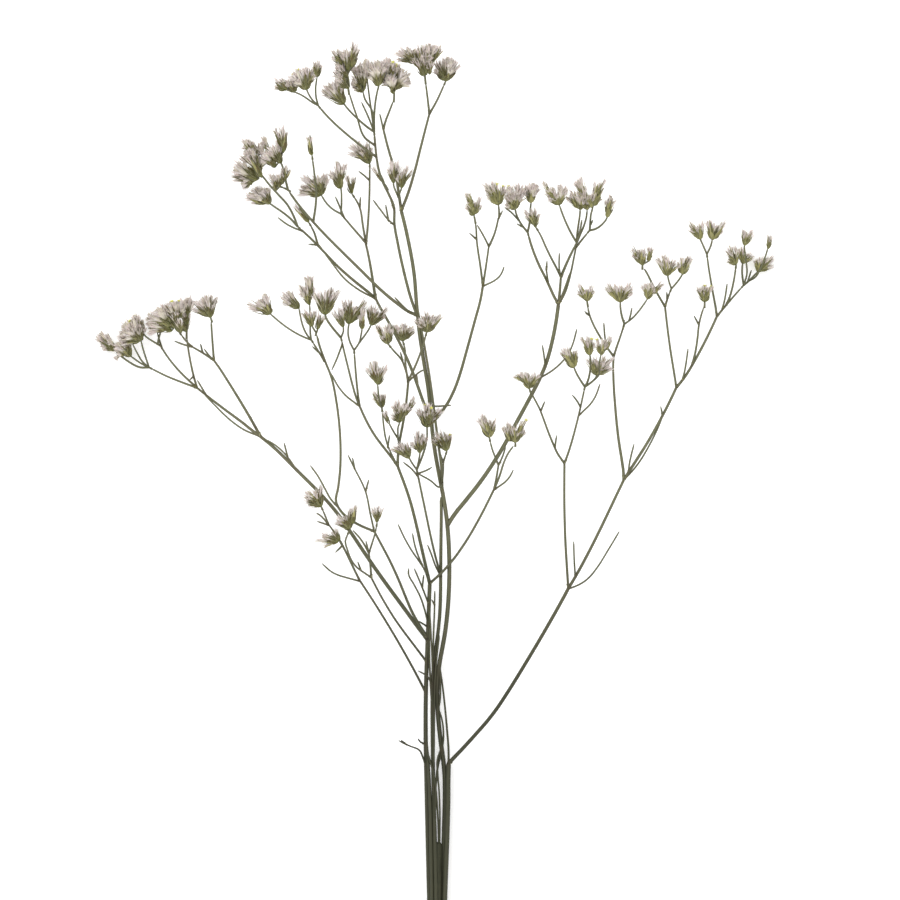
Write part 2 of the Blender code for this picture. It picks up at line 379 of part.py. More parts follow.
def centre(outer, second, main, beside):
    """The sprays in front of the main strand, which stand highest when the spray lies down."""
    rising = grow(outer, (1.25, 1.0), (-2.6, 150.6), (-3.7, 154.3), (-4.7, 158.8), (-6.1, 165),
                  (-7.8, 172.5), (-9.5, 179.8), (-11.6, 185.6), (-13.7, 191), (-14.4, 193, 26))
    dead = grow(outer, FINE, (-2.7, 149), (-4.6, 155.4, 15), (-6.8, 158.4), (-9.6, 162.2), (-12, 166.7),
                (-14, 171.3, 24))
    grow(dead, FINE, (-5, 156.4), (-7, 160.2, 19), (-8.2, 163.9), (-8.8, 168, 24))
    up = grow(rising, (1.0, 0.85), (-14.4, 193), (-14, 197), (-13.6, 200.5), (-12.2, 207.5), (-11.2, 212),
              (-10.8, 217), (-10.1, 223.7, 41))
    left = grow(up, TWIG, (-10.1, 223.7), (-11.2, 227), (-12.3, 230.3), (-15.4, 233.2),
                (-16.6, 234.8, 47))
    head("centre_head_1", left, ((-17.4, 236), (-21.8, 242.4), -3), ((-17.2, 236.4), (-18.5, 242.4), 2),
         ((-16.8, 236.2), (-16.1, 241.4), 5, NARROW))
    right = grow(up, TWIG, (-10.1, 223.7), (-8.9, 225.3), (-7.4, 228.6), (-5.9, 232.2), (-4.4, 237.2),
                 (-3.9, 239, 46))
    head("centre_head_2", right, ((-4.8, 240.2), (-8.4, 244.8), -2, NARROW),
         ((-3.9, 240.4), (-5, 245.8), 3), ((-3.5, 240.2), (-1, 246.4), 5),
         ((-3.2, 240.2), (2.4, 246.6), -2))
    lower = grow(up, TWIG, (-10.4, 222), (-11.4, 229.4, 33), (-11.2, 234), (-11.9, 236, 31))
    head("centre_head_3", lower, ((-12.2, 237.6), (-15.4, 243.2), -2),
         ((-11.9, 237.6), (-12.3, 243.8), 3), ((-11.4, 237.4), (-8.8, 243), -3))
    cross = grow(rising, FINE, (-14.4, 193), (-16, 195.8), (-17.8, 199.3), (-18.6, 202.8), (-19.1, 206.1),
                 (-19.4, 210), (-19.6, 212, 33))
    stalk = bunch("centre_head_4", cross)
    florets(stalk, ((-20.4, 214.2), (-23, 219.2), -2), ((-19.6, 213.8), (-18.4, 218.2), 1, NARROW))
    florets(grow(stalk, FINE, (-19.7, 212.8), (-20.8, 216, 37), (-21, 219.4, 39)),
            ((-21.8, 222), (-23.8, 230.2), -1), ((-20.7, 222.6), (-18, 228.4), 3))
    twig = grow(up, FINE, (-13.5, 200), (-13.9, 201.8, 34.6))
    stalk = bunch("centre_head_5", twig)
    florets(grow(stalk, FINE, (-14.1, 202.6), (-15.6, 204.6, 38), (-16.6, 206.6, 40)),
            ((-17.4, 208.2), (-19.4, 212), 2, NARROW))
    florets(grow(stalk, FINE, (-14.1, 202.6), (-14, 204.4, 39), (-13.9, 206.2, 42)),
            ((-14.2, 207.6), (-16.2, 210.8), 3, NARROW), ((-14, 208), (-14, 216), 1),
            ((-13, 208.6), (-11.2, 215.4), 4), ((-10.3, 211.6), (-8.1, 217), 5, NARROW))
    outer_front = grow(second, (0.85, 0.75), (1.2, 153), (-0.4, 158.4, 12.5), (-2.3, 166.7), (-4, 175.3),
                       (-5.8, 183.9), (-7.1, 190.2, 30))
    grow(second, FINE, (1.3, 152.6), (-0.8, 156.2, 13), (-2, 160.8), (-3.4, 163.8, 19))
    grow(beside, FINE, (1.9, 186), (0.6, 184.4, 20), (-2, 187, 25), (-6.6, 189.4, 29))
    grow(outer_front, FINE, (-6.7, 188.4), (-8.8, 191.2, 31), (-12, 193.6, 35))
    stalk = bunch("centre_head_6", outer_front)
    florets(grow(stalk, FINE, (-7.3, 191), (-8.6, 192.8), (-9.6, 194.4, 34)),
            ((-10, 195.8), (-13.9, 199.8), 2), ((-9.9, 195.8), (-11, 201.2), 5),
            ((-10.6, 196.2), (-16.4, 199.6), -2, NARROW))
    florets(grow(stalk, TWIG, (-7.3, 191), (-5.2, 195.4), (-3.8, 200.1), (-3.3, 203.4),
            (-3.6, 205.6, 36)), ((-4.2, 207), (-7.4, 212.8), -1), ((-3.7, 207.4), (-4.4, 215), 3, WIDE),
            ((-2.8, 207.2), (1.3, 213.2), 0), ((-3, 207.4), (-1.9, 213.6), 6))
    florets(grow(stalk, FINE, (-7.3, 191), (-6.5, 194, 33), (-6.1, 196.6, 36)),
            ((-6.1, 198.2), (-7.1, 205.6), 2), ((-5.2, 198), (-3.6, 202.6), 5, NARROW))
    stalk = grow(beside, FINE, (1.9, 186.6), (2.4, 190.4, 20), (2.3, 194.4, 25))
    grow(stalk, FINE, (2.3, 193.4), (0.9, 197, 27), (0.2, 200, 29))
    twig = grow(stalk, FINE, (2.3, 194.4), (3.3, 196.8, 27))
    head("centre_head_7", twig, ((2.6, 198.2), (-0.8, 203.8), -1), ((3.1, 198.4), (1.9, 205.4), 3, WIDE),
         ((3.8, 198.2), (5, 204), 0))
    return rising


def upper_right(main):
    """Two strands to the upper right, a thin bowed one and a stout one that forks into many heads."""
    bow = grow(main, (1.15, 0.95), (-2.0, 209), (1.6, 211.5, 20), (3.4, 214), (5.5, 217.7), (7.4, 222.3),
               (8.7, 226.7), (10.6, 233.1), (13.5, 244.8), (15.9, 251.8), (16.6, 257.6, 27))
    grow(bow, FINE, (16.6, 257.6), (18.3, 257.7), (20.6, 258.5), (22.5, 260.1), (23.5, 261.7),
         (24.1, 263.8, 30))
    left = grow(bow, TWIG, (16.6, 257.6), (15.5, 265), (14.6, 270.4), (14, 273.7), (14.3, 276.8),
                (13.8, 279.4, 33))
    head("upper_head_1", left, ((12.6, 281.2), (10.3, 285.6), -2), ((13, 284.8), (10.1, 290.2), 2),
         ((13.6, 283.6), (15.9, 289.2), 0, NARROW))
    right = grow(bow, TWIG, (16.6, 257.6), (17.3, 262), (17.9, 265.9), (18.7, 271.8, 31))
    grow(right, FINE, (18.7, 271.8), (17.1, 274.1), (15.6, 276.6, 34), (14.4, 278.6, 33.6))
    twig = grow(right, TWIG, (18.7, 271.8), (20.2, 273.9), (21.2, 277), (22.1, 281.4, 35))
    head("upper_head_2", twig, ((21.6, 285.8), (18.7, 290.2), -1), ((21.8, 287), (19.2, 294.4), 3),
         ((22.4, 286.8), (21.4, 293.6), 6, NARROW), ((22.8, 286.4), (23.9, 293.2), 1),
         ((21.2, 288), (16.4, 293.6), 1, NARROW))
    stout = grow(main, (1.55, 1.35), (3.7, 171), (6.7, 175.7, 13.0), (10.8, 180.3), (14.9, 185.1),
                 (21.4, 195), (24.6, 200), (28.7, 208.3), (33.8, 217.2, 16), (37, 223.4), (39, 228.2),
                 (40.1, 231.5), (41.8, 238), (43.1, 245), (43.8, 251.2, 21))
    grow(stout, FINE, (39, 228.2), (38.6, 232), (37.9, 235.7, 22))
    grow(stout, FINE, (37.4, 224), (41.3, 226.1), (45.1, 229.5), (47.6, 232.6, 13), (49.1, 235.9),
         (50.5, 241.7, 12))
    left = grow(stout, (1.05, 0.85), (43.8, 251.2), (42.1, 253.1), (41.1, 255.3), (39.6, 259.3),
                (36.5, 264.2), (33.8, 271.4), (32.8, 275.4, 25))
    stalk = bunch("upper_head_3", left)
    twig = grow(stalk, TWIG, (32.5, 276.2), (30.7, 278.2), (29.3, 280.6), (28.2, 283, 28))
    florets(twig, ((27.8, 285), (25.5, 290.4), 2), ((28.4, 285.2), (27.8, 291), 5, NARROW),
            ((29, 285.6), (29.7, 294), 0))
    florets(grow(stalk, TWIG, (32.5, 276.2), (33.2, 278.6), (33.6, 282), (33.5, 285.6, 26.5)),
            ((33, 288), (31.2, 293), -2), ((34.2, 287.4), (34.5, 294), 2, WIDE),
            ((35, 288), (36.4, 293.4), -2, NARROW))
    middle = grow(stout, SIDE, (43.8, 251.2), (44.3, 255.9), (44.6, 261, 24))
    grow(middle, FINE, (44.5, 260), (43.7, 263, 26.5), (43.9, 268.6, 30))
    twig = grow(middle, TWIG, (44.6, 261), (43, 263.4), (40.5, 267.9), (38.8, 271.2), (37.4, 275),
                (36.1, 276.9, 30))
    head("upper_head_4", twig, ((35.4, 278.4), (34.9, 285.2), 3, NARROW),
         ((34.8, 278.6), (31.2, 284.2), 5, NARROW))
    join = grow(middle, SIDE, (44.6, 261), (46.2, 264.4), (48.3, 268.8), (49.8, 271.7, 27))
    bowed = grow(stout, TWIG, (43.8, 251), (46, 254.3, 19), (47.5, 258.4), (48.5, 263.4), (49.3, 267.5),
                 (50.1, 271.6, 25.6))
    grow(stout, FINE, (43.8, 250.6), (46.2, 256.6, 24), (47.8, 261.7, 26))
    stalk = bunch("upper_head_5", join)
    florets(grow(stalk, TWIG, (50.1, 272.5), (48.7, 274.6), (46.4, 279.1), (44.8, 283, 31)),
            ((43.4, 285.6), (38.8, 291.4), -2), ((44, 286.4), (41.2, 291.8), 2),
            ((44.6, 286.4), (44.6, 292), 4), ((45, 286.6), (46.5, 292.8), -1),
            ((40.6, 289.6), (37.8, 294.4), 2, NARROW))
    florets(grow(stalk, TWIG, (50.1, 272.5), (50.2, 275.4), (50.7, 278.3), (51.4, 283, 30)),
            ((50.8, 285.6), (47.9, 291.4), -2), ((51.8, 284.8), (51.8, 289), 3))
    florets(grow(stalk, TWIG, (50.1, 272.5), (51.5, 275.6, 25.6), (52.8, 278.3), (53.9, 281.6, 26.5)),
            ((53.8, 285.4), (51, 291.4), -4), ((53.8, 287), (50.8, 296.4), -1),
            ((54.3, 283.6), (55, 288), 2, NARROW))
    arm = grow(bowed, TWIG, (50.1, 271.6), (52.2, 273.7), (54.3, 276.2, 28))
    stalk = bunch("upper_head_6", arm)
    twig = grow(stalk, TWIG, (54.7, 276.8), (55, 279.4), (55.1, 282.6, 33))
    florets(twig, ((56.4, 285.6), (58.4, 290), -2), ((56.4, 286.6), (57.5, 294.4), 2, WIDE),
            ((57.4, 289), (60.4, 295), 4, NARROW), ((55.2, 284.6), (54.6, 289.8), 5, NARROW))
    florets(grow(stalk, TWIG, (54.7, 276.8), (56.6, 277), (58.4, 278), (60.2, 279.8), (60.9, 281, 29)),
            ((61.4, 282.2), (62.6, 289.6), 0, WIDE))


def inner_right(outer):
    """A thin strand that crosses in front of the stout one and ends in two small heads."""
    strand = grow(outer, (0.95, 0.85), (-2.6, 150.6), (1.7, 153.4, 11.2), (5.6, 158, 13.4), (10.4, 164.5),
                  (15.8, 174), (20.9, 184.7, 27))
    grow(strand, FINE, (20.4, 183.6), (22.6, 185.2), (24.6, 186.4), (26.4, 188.4), (27.4, 190.9, 30))
    up = grow(strand, TWIG, (20.9, 184.7), (21.4, 188), (22.2, 193.4, 28))
    twig = grow(up, FINE, (22.2, 193.4), (20.8, 195.6), (19.6, 198.6), (19, 201.4, 30))
    head("front_head_1", twig, ((18.3, 203.6), (14.9, 209.8), 1, WIDE), ((19.8, 203.4), (20.9, 209), 3),
         ((18.6, 204), (17.2, 209.6), 5, NARROW))
    grow(up, FINE, (22.1, 192.8), (23.2, 194.6), (24.2, 197.4), (24.6, 199.2, 30))
    second = grow(strand, TWIG, (20.9, 184.4), (22.5, 188.6, 30), (24.1, 194.1), (25.3, 196.8),
                  (27.4, 199.4, 31))
    head("front_head_2", second, ((27.8, 201.4), (27.9, 206.6), 5, NARROW),
         ((28.6, 201.2), (30.6, 206.4), -1), ((28.4, 203), (32.3, 209.4), 3, NARROW),
         ((26.6, 201.4), (25, 208.4), 1), ((26, 201), (23.6, 206.2), 4, NARROW))


def right_sprays(right):
    """The long strand to the right. It forks into an inner spray, a middle one and the far heads."""
    strand = grow(right, (1.45, 1.3), (4.2, 85.3), (6.4, 87, 5.6), (8.2, 88.8), (11.3, 92.1),
                  (14.3, 95.6), (18.3, 99.9), (21.4, 104), (25.4, 110), (32.5, 121.6), (40.6, 135.3),
                  (45.6, 144.4), (47.8, 148.6, 9.5))
    grow(strand, FINE, (47.4, 147.8), (50, 148.6), (52.7, 149.9), (55.3, 151.9), (57.8, 155),
         (62.1, 162.1), (66, 168.5, 4))
    inner = grow(strand, (0.95, 0.85), (47.8, 148.6), (47, 154.4), (46.2, 165.6), (45.8, 177.6),
                 (45.9, 194.1, 18))
    long = grow(strand, (1.15, 1.0), (47.8, 148.6), (50.7, 153.2), (56.2, 163.5), (61, 173.5),
                (64.7, 181.4), (67.9, 188, 8.5))
    grow(long, FINE, (50, 152), (49.5, 158, 13), (49.3, 165, 14))
    left = grow(inner, TWIG, (45.9, 194.1), (44, 195.7), (43, 197.2), (42.3, 199.4), (40.7, 202.4),
                (38.4, 208.6), (37.3, 212.5, 25), (34.6, 217, 26), (33.8, 218.6, 26.4))
    head("right_head_1", left, ((32.8, 220.8), (30, 225.6), -1),
         ((33.2, 220.6), (31.8, 226.4), 3, NARROW), ((34.4, 220.8), (35.6, 226), 1),
         ((31.2, 222.2), (28.4, 225.8), -3, NARROW))
    side = grow(inner, TWIG, (45.9, 194.1), (46.8, 195.4), (48.1, 199.3), (49.9, 206), (51.2, 211.2),
                (52.5, 217.6), (53, 219.9, 24))
    grow(side, FINE, (51, 210.4), (53.1, 212.5), (55.4, 214.4), (57.2, 217), (58.7, 221.8, 20))
    stalk = bunch("right_head_2", side)
    florets(grow(stalk, TWIG, (53.1, 220.7), (52.2, 222), (50.5, 224.7), (49.8, 226.2, 25.4)),
            ((48.4, 228.6), (44.2, 234.2), -2, WIDE), ((48.8, 228.8), (46.6, 235.2), 2, WIDE),
            ((49.4, 228.4), (49.8, 234), 0))
    florets(grow(stalk, TWIG, (53.1, 220.7), (54.1, 222), (55, 225.7, 28), (55.2, 228.6, 31),
            (54.9, 231, 34)), ((54.5, 232.8), (51.9, 239.2), -1), ((54.9, 233), (55.5, 238.4), 3, NARROW))
    fork = grow(stalk, TWIG, (53.1, 220.7), (54.2, 221.4), (55.4, 222.2), (57, 223.6, 26.5))
    florets(fork, ((57, 226), (53.8, 231.2), -2), ((57.2, 226.4), (56.4, 231.8), 1),
            ((58.4, 225), (60, 230), 3), ((59.2, 225.8), (63.3, 231.2), -1))
    florets(grow(fork, FINE, (56.6, 223.2), (58.2, 224.6, 30), (58.2, 230, 37.5)),
            ((57.4, 232.8), (57, 238), 1, NARROW), ((58.8, 232.6), (59.4, 238), 4),
            ((60.4, 233.6), (62.2, 239.2), 0, NARROW))
    middle = grow(long, SIDE, (67.9, 188), (67.4, 191), (66.9, 193.1), (65.4, 201.9), (64.2, 213.4),
                  (63.6, 224.7), (63.4, 229.2), (63.8, 232.6, 15.5))
    twig = grow(middle, TWIG, (63.8, 232.6), (61.6, 234.4), (60.7, 235.8), (58.9, 238.5), (56.4, 242.9),
                (54.6, 246.9), (54.3, 249.8, 17))
    grow(twig, FINE, (60.9, 235.4), (60.3, 239.6, 20), (60, 243.8, 22))
    head("right_head_3", twig, ((53.2, 252.4), (51, 258), -2), ((54.4, 253), (55.8, 257.4), 2))
    up = grow(middle, TWIG, (63.8, 232.6), (65, 235.9), (66, 238.5), (67.3, 242.6, 17))
    stalk = bunch("right_head_4", up)
    florets(grow(stalk, TWIG, (67.6, 243.4), (66.9, 245), (66.3, 247.2), (66, 249.6, 17.4)),
            ((64.8, 252.2), (61.4, 258.2), -2), ((65.4, 252.2), (64.1, 257.6), 3),
            ((66.8, 252.2), (66.6, 257.4), -1, NARROW), ((67.2, 252.6), (70, 258.4), 2))
    side = grow(stalk, FINE, (67.6, 243.4), (69.4, 244.6), (71.1, 246), (72.7, 248), (74.4, 250.2, 15))
    florets(side, ((75.4, 252.4), (75.2, 258.8), -2, NARROW), ((76.4, 253.2), (77, 258.6), 2),
            ((77.4, 254.2), (81.7, 258.6), -1))
    far = grow(long, (1.1, 1.0), (67.9, 188), (69.3, 190), (71, 192.8), (75.9, 200), (78.6, 205.2),
               (80.8, 208.8), (84.8, 216.7), (86.9, 221.4, 7))
    grow(long, FINE, (68, 187.6), (70.5, 190.2, 7.2), (72.6, 192.5), (76.9, 199.6), (79.6, 205, 6.6),
         (81.4, 209.6, 6.9))
    grow(far, FINE, (69.2, 189.8), (69.3, 192.5), (70.2, 196.6), (71.1, 200.1, 13))
    inside = grow(far, (0.85, 0.75), (86.9, 221.4), (85.5, 227.5), (84.3, 234.1), (83.5, 240.2),
                  (82.3, 250.6, 9.5))
    left = grow(inside, TWIG, (82.3, 250.6), (80.6, 252.7), (79.2, 255.4), (77.6, 258.2, 8.4), (76, 262),
                (74.9, 263.5, 9))
    head("right_head_5", left, ((73.6, 265.4), (70.4, 271.4), -1), ((74.2, 265.8), (74.1, 271), 2),
         ((76.5, 266), (77, 271.4), 0))
    up = grow(inside, TWIG, (82.3, 250.6), (83.2, 252.9), (84.3, 255.5, 12))
    stalk = bunch("right_head_6", up)
    florets(grow(stalk, FINE, (84.6, 256.3), (83.8, 258.3), (83.3, 260.2, 14)),
            ((82.6, 261.8), (79.2, 267.8), -1), ((82.9, 262.2), (82.5, 268.2), 2, WIDE),
            ((84, 261.8), (86.4, 266.4), 0, NARROW))
    florets(grow(stalk, FINE, (84.6, 256.3), (86.8, 258.5), (88.2, 260.7, 11.5)),
            ((88.9, 262.2), (88.4, 268), 1), ((89.3, 262.4), (91.8, 268.2), -1, WIDE))
    outside = grow(far, (1.05, 0.9), (86.9, 221.4), (88.6, 222.9), (90.5, 225.6), (92.8, 229.6),
                   (95.7, 234.6), (99.4, 242.1), (101.6, 247.1, 6))
    grow(outside, FINE, (88.6, 222.9), (89.6, 226), (90.1, 230), (90.7, 234.7, 10))
    twig = grow(outside, TWIG, (92.2, 228.6), (93.5, 233.1), (94.3, 237.9), (94.5, 244), (95.6, 247),
                (96.4, 249.6, 9.4))
    head("right_head_7", twig, ((95.1, 252.8), (93.4, 256.8), 2, NARROW),
         ((96.6, 252.6), (96.6, 258), -1), ((98, 252.4), (99.4, 257.6), 1))
    rear = grow(outside, TWIG, (101.6, 247.1), (100.9, 249.6), (99.8, 254.8, 5), (99, 260), (98.2, 263.8),
                (97.7, 268, 7))
    stalk = bunch("right_head_8", rear)
    florets(grow(stalk, FINE, (97.6, 268.8), (96.4, 271.8), (95.5, 273.6, 6)),
            ((94.7, 275.2), (91.2, 280.6), -1), ((95.3, 275.2), (95.8, 280.4), 2))
    florets(grow(stalk, FINE, (97.6, 268.8), (98.6, 270.8), (99.2, 272.2, 9)),
            ((98.5, 274.6), (97.8, 281.6), 2, WIDE), ((99.8, 274.8), (101.4, 279.6), -1),
            ((100.6, 275.6), (104.4, 281), 1))
    fork = grow(outside, TWIG, (101.6, 247.1), (103.3, 248.9), (104.7, 250.4), (107.5, 253.9),
                (110.4, 257, 5))
    grow(fork, FINE, (103.1, 248.7), (104, 251.6), (104.4, 254.3), (104.9, 258.2, 8))
    twig = grow(fork, TWIG, (104.6, 250.3), (106.2, 253.4), (107.4, 259.1), (108, 264, 9))
    head("right_head_9", twig, ((107.8, 266), (105.8, 272), 0), ((108.2, 266.2), (108, 271.4), 3, NARROW))
    stalk = bunch("right_head_10", fork)
    florets(grow(stalk, TWIG, (110.9, 257.6), (110.4, 260.5), (110.4, 264.6, 4)),
            ((110.6, 266.4), (110.6, 271.8), 0.6), ((111.4, 266.4), (113.8, 269.6), -1, NARROW))
    florets(grow(stalk, FINE, (110.9, 257.6), (112.2, 262, 10), (111.4, 267.6, 13), (110.8, 271.2, 14)),
            ((110.6, 272.6), (110.4, 278), -1, NARROW), ((111.7, 272.8), (113.9, 278), 1, NARROW))
    tip = grow(stalk, TWIG, (110.9, 257.6), (113.1, 259.3), (114.6, 260.9, 2.9), (115.4, 261.9, 2.3))
    florets(tip, ((116.6, 263), (117.4, 268.2), 1), ((117.4, 262.8), (122.5, 268.4), -0.6))
    florets(grow(tip, FINE, (113, 259.4), (115.4, 260.6, 8), (118, 266, 9.6), (119.4, 270.2, 9)),
            ((119.6, 271.6), (121.2, 276), 0, NARROW))


def place(point):
    """A point of the drawing, in millimetres, as a place in the part's frame, in metres."""
    return (Vector(point) + DRAWING_TO_FRAME) * MM


def thinned(line):
    """The line with only the points that it needs to stay within the stated miss."""
    if len(line) < 3:
        return line
    run = (line[-1] - line[0]).normalized()
    misses = [(spot - line[0] - run * (spot - line[0]).dot(run)).length for spot in line[1:-1]]
    worst = max(range(len(misses)), key=misses.__getitem__) + 1
    if misses[worst - 1] < LINE_MISS:
        return [line[0], line[-1]]
    return thinned(line[:worst + 1])[:-1] + thinned(line[worst:])


def tube(line, thick):
    """A round branch along a line, thinner towards its tip, as a closed mesh object."""
    whole = sum((end - start).length for start, end in zip(line, line[1:]))
    line = thinned(line)
    curve = bpy.data.curves.new("tube", "CURVE")
    curve.dimensions = "3D"
    # Each point's radius is then the branch's diameter there.
    curve.bevel_depth = 0.5 * MM
    curve.bevel_resolution = 1 if max(thick) > ROUND_FROM else 0
    curve.use_fill_caps = True
    spline = curve.splines.new("POLY")
    spline.points.add(len(line) - 1)
    travelled = 0.0
    for index, (point, spot) in enumerate(zip(spline.points, line)):
        travelled += (spot - line[index - 1]).length if index else 0.0
        point.co = (*place(spot), 1.0)
        point.radius = thick[0] + (thick[1] - thick[0]) * travelled / whole
    guide = bpy.data.objects.new("tube", curve)
    working.objects.link(guide)
    mesh = bpy.data.meshes.new_from_object(guide.evaluated_get(bpy.context.evaluated_depsgraph_get()))
    solid = new_solid(mesh)
    solid.matrix_world = guide.matrix_world
    bpy.data.objects.remove(guide)
    return solid


def new_solid(mesh):
    """Welds a mesh, points its faces outwards and puts it in the working collection."""
    form = bmesh.new()
    form.from_mesh(mesh)
    bmesh.ops.remove_doubles(form, verts=form.verts, dist=WELD * MM)
    bmesh.ops.recalc_face_normals(form, faces=form.faces)
    form.to_mesh(mesh)
    form.free()
    solid = bpy.data.objects.new("solid", mesh)
    working.objects.link(solid)
    return solid


def spikelet(foot, tip, size):
    """One bud. The middle ring of a six-sided sphere is moved to the bracts' points and the teeth."""
    axis = tip - foot
    width = SPIKELET_WIDTH * size
    side = axis.cross(Vector((0, 0, 1))).normalized()
    up = side.cross(axis).normalized()
    form = bmesh.new()
    bmesh.ops.create_uvsphere(form, u_segments=SPIKELET_SIDES, v_segments=2, radius=1.0)
    for vert in form.verts:
        turn = np.arctan2(vert.co.y, vert.co.x)
        corner = round(turn / (2 * np.pi / SPIKELET_SIDES)) % 2
        if abs(vert.co.z) > 0.5:
            along, out = (CALYX_FLOOR, 0.0) if vert.co.z > 0 else (0.0, 0.0)
        else:
            along, out = CALYX_TOOTH if corner else BRACT_POINT
        vert.co = place(foot + axis * along + (side * np.cos(turn) + up * np.sin(turn)) * out * width)
    mesh = bpy.data.meshes.new("spikelet")
    form.to_mesh(mesh)
    form.free()
    return new_solid(mesh)


def branch_solids(branch):
    """A branch with its spikelets and their pedicels, each sunk into what it grows from."""
    solids = [tube(branch.line, branch.thick)]
    heart = branch.tip()
    for foot, tip, lean, *size in branch.spikelets:
        low = Vector((*foot, heart.z + lean * FOOT_LEAN))
        high = Vector((*tip, heart.z + lean))
        heart_in = heart - branch.forward() * HEART_DEPTH
        if (low - heart).length < SESSILE:
            low = heart_in
        else:
            solids.append(tube([heart_in, low.lerp(high, PEDICEL_END)], PEDICEL))
        solids.append(spikelet(low, high, size[0] if size else 1.0))
    return solids


def fuse(name, solids, material):
    """One closed body from solids that overlap, by a single Boolean union on a collection."""
    body = solids[0]
    rest = bpy.data.collections.new(name + "_joined")
    for solid in solids[1:]:
        working.objects.unlink(solid)
        rest.objects.link(solid)
    union = body.modifiers.new("union", "BOOLEAN")
    union.operation = "UNION"
    union.operand_type = "COLLECTION"
    union.collection = rest
    union.solver = "EXACT"
    depsgraph = bpy.context.evaluated_depsgraph_get()
    mesh = bpy.data.meshes.new_from_object(body.evaluated_get(depsgraph))
    for solid in solids:
        bpy.data.objects.remove(solid)
    bpy.data.collections.remove(rest)
    mesh.materials.clear()
    mesh.materials.append(material)
    mesh.name = name
    part = bpy.data.objects.new(name, mesh)
    spray.objects.link(part)
    part.data.shade_smooth()
    part.data.set_sharp_from_angle(angle=SHARP_ANGLE)
    return part


def plant_material(name, colour, roughness):
    """A plain dry plant surface."""
    material = bpy.data.materials.new(name)
    material.use_nodes = True
    shader = material.node_tree.nodes["Principled BSDF"]
    shader.inputs["Base Color"].default_value = (*colour, 1.0)
    shader.inputs["Roughness"].default_value = roughness
    shader.inputs["Metallic"].default_value = 0.0
    return material


for old in list(bpy.data.objects):
    bpy.data.objects.remove(old)
spray = bpy.data.collections.new("flowering_spray")
bpy.context.scene.collection.children.link(spray)
working = bpy.data.collections.new("working")
bpy.context.scene.collection.children.link(working)

outer, second, main, right, beside = foot_and_bundle()
crown(main)
shoulder(main, beside)
left_spray(outer)
inner = low_left(outer)
rising = centre(outer, second, main, beside)
inner_left(inner, rising)
upper_right(main)
inner_right(outer)
right_sprays(right)

dry_stem = plant_material("dry_stem", (0.115, 0.112, 0.062), 0.75)
dry_flower = plant_material("dry_flower", (0.30, 0.27, 0.15), 0.85)
for node in dict.fromkeys(branch.node for branch in branches):
    solids = [solid for branch in branches if branch.node == node for solid in branch_solids(branch)]
    fuse(node, solids, dry_stem if node == "stem" else dry_flower)
bpy.data.collections.remove(working)
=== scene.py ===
# %% [markdown]
# # A dried flowering spray
#
# The real object is one cut plant stem that forks again and again, and every last twig ends in a
# small head of buds. Each bud is a few stiff olive bracts round pale, papery flower cups. It could be
# drawn with a particle system or with instances, but those get lost in an export, so every branch
# and bud here is plain mesh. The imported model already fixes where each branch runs. This lesson
# draws the same branches again, finer and rounder, and dresses each head bud by bud.

# %% The frame
import json
import math
import random

import bmesh
import bpy
import numpy as np
from mathutils import Matrix, Vector, geometry, kdtree

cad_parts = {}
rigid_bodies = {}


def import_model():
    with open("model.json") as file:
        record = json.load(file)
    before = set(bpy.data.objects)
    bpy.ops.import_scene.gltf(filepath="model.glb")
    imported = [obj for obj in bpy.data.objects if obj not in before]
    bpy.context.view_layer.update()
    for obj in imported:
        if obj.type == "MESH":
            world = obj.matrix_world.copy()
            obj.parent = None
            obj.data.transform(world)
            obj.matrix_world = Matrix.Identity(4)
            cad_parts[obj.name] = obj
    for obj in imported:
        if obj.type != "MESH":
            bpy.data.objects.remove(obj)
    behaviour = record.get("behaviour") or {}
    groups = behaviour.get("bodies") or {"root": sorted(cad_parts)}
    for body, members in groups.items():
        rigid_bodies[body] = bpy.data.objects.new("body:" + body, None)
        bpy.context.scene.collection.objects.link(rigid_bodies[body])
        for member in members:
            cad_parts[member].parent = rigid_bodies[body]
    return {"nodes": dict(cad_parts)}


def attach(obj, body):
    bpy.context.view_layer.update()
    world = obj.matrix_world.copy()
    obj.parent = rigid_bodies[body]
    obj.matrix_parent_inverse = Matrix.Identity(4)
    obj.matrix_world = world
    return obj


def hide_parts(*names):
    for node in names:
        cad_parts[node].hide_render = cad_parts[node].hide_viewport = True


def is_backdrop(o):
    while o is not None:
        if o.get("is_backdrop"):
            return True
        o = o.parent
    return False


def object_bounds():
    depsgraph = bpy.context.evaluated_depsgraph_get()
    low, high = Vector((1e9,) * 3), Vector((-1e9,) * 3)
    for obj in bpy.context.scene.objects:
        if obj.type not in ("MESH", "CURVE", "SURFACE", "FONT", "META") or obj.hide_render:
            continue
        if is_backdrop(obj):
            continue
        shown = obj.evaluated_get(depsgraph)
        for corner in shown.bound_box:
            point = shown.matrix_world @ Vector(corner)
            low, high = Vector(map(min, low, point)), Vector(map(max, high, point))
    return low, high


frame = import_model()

cad_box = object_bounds()
print(len(frame["nodes"]), "nodes, box", cad_box)

# %% [markdown]
# ## Units and the drawing
#
# The branches are drawn in millimetres, with the foot's middle at zero: across, along, and the
# height over the table where it is known. One function takes such a point to the frame's metres.

# %% Drawing to frame
MM = 0.001
DRAWING_TO_FRAME = Vector((0.6, -171.9, -0.37))


def place(point):
    """A point of the drawing, in millimetres, as a place in the frame, in metres."""
    return (Vector(point) + DRAWING_TO_FRAME) * MM


print("the foot's middle is at", place((0, 0, 0)))

# %% [markdown]
# ## Camera
#
# The photograph looks straight at a flat, white-backed spray and shows hardly any perspective. The
# spray lies on a table here, so the camera hangs high over it with a long lens. One picture is as
# wide as the real strip that it shows, which gives the distance.

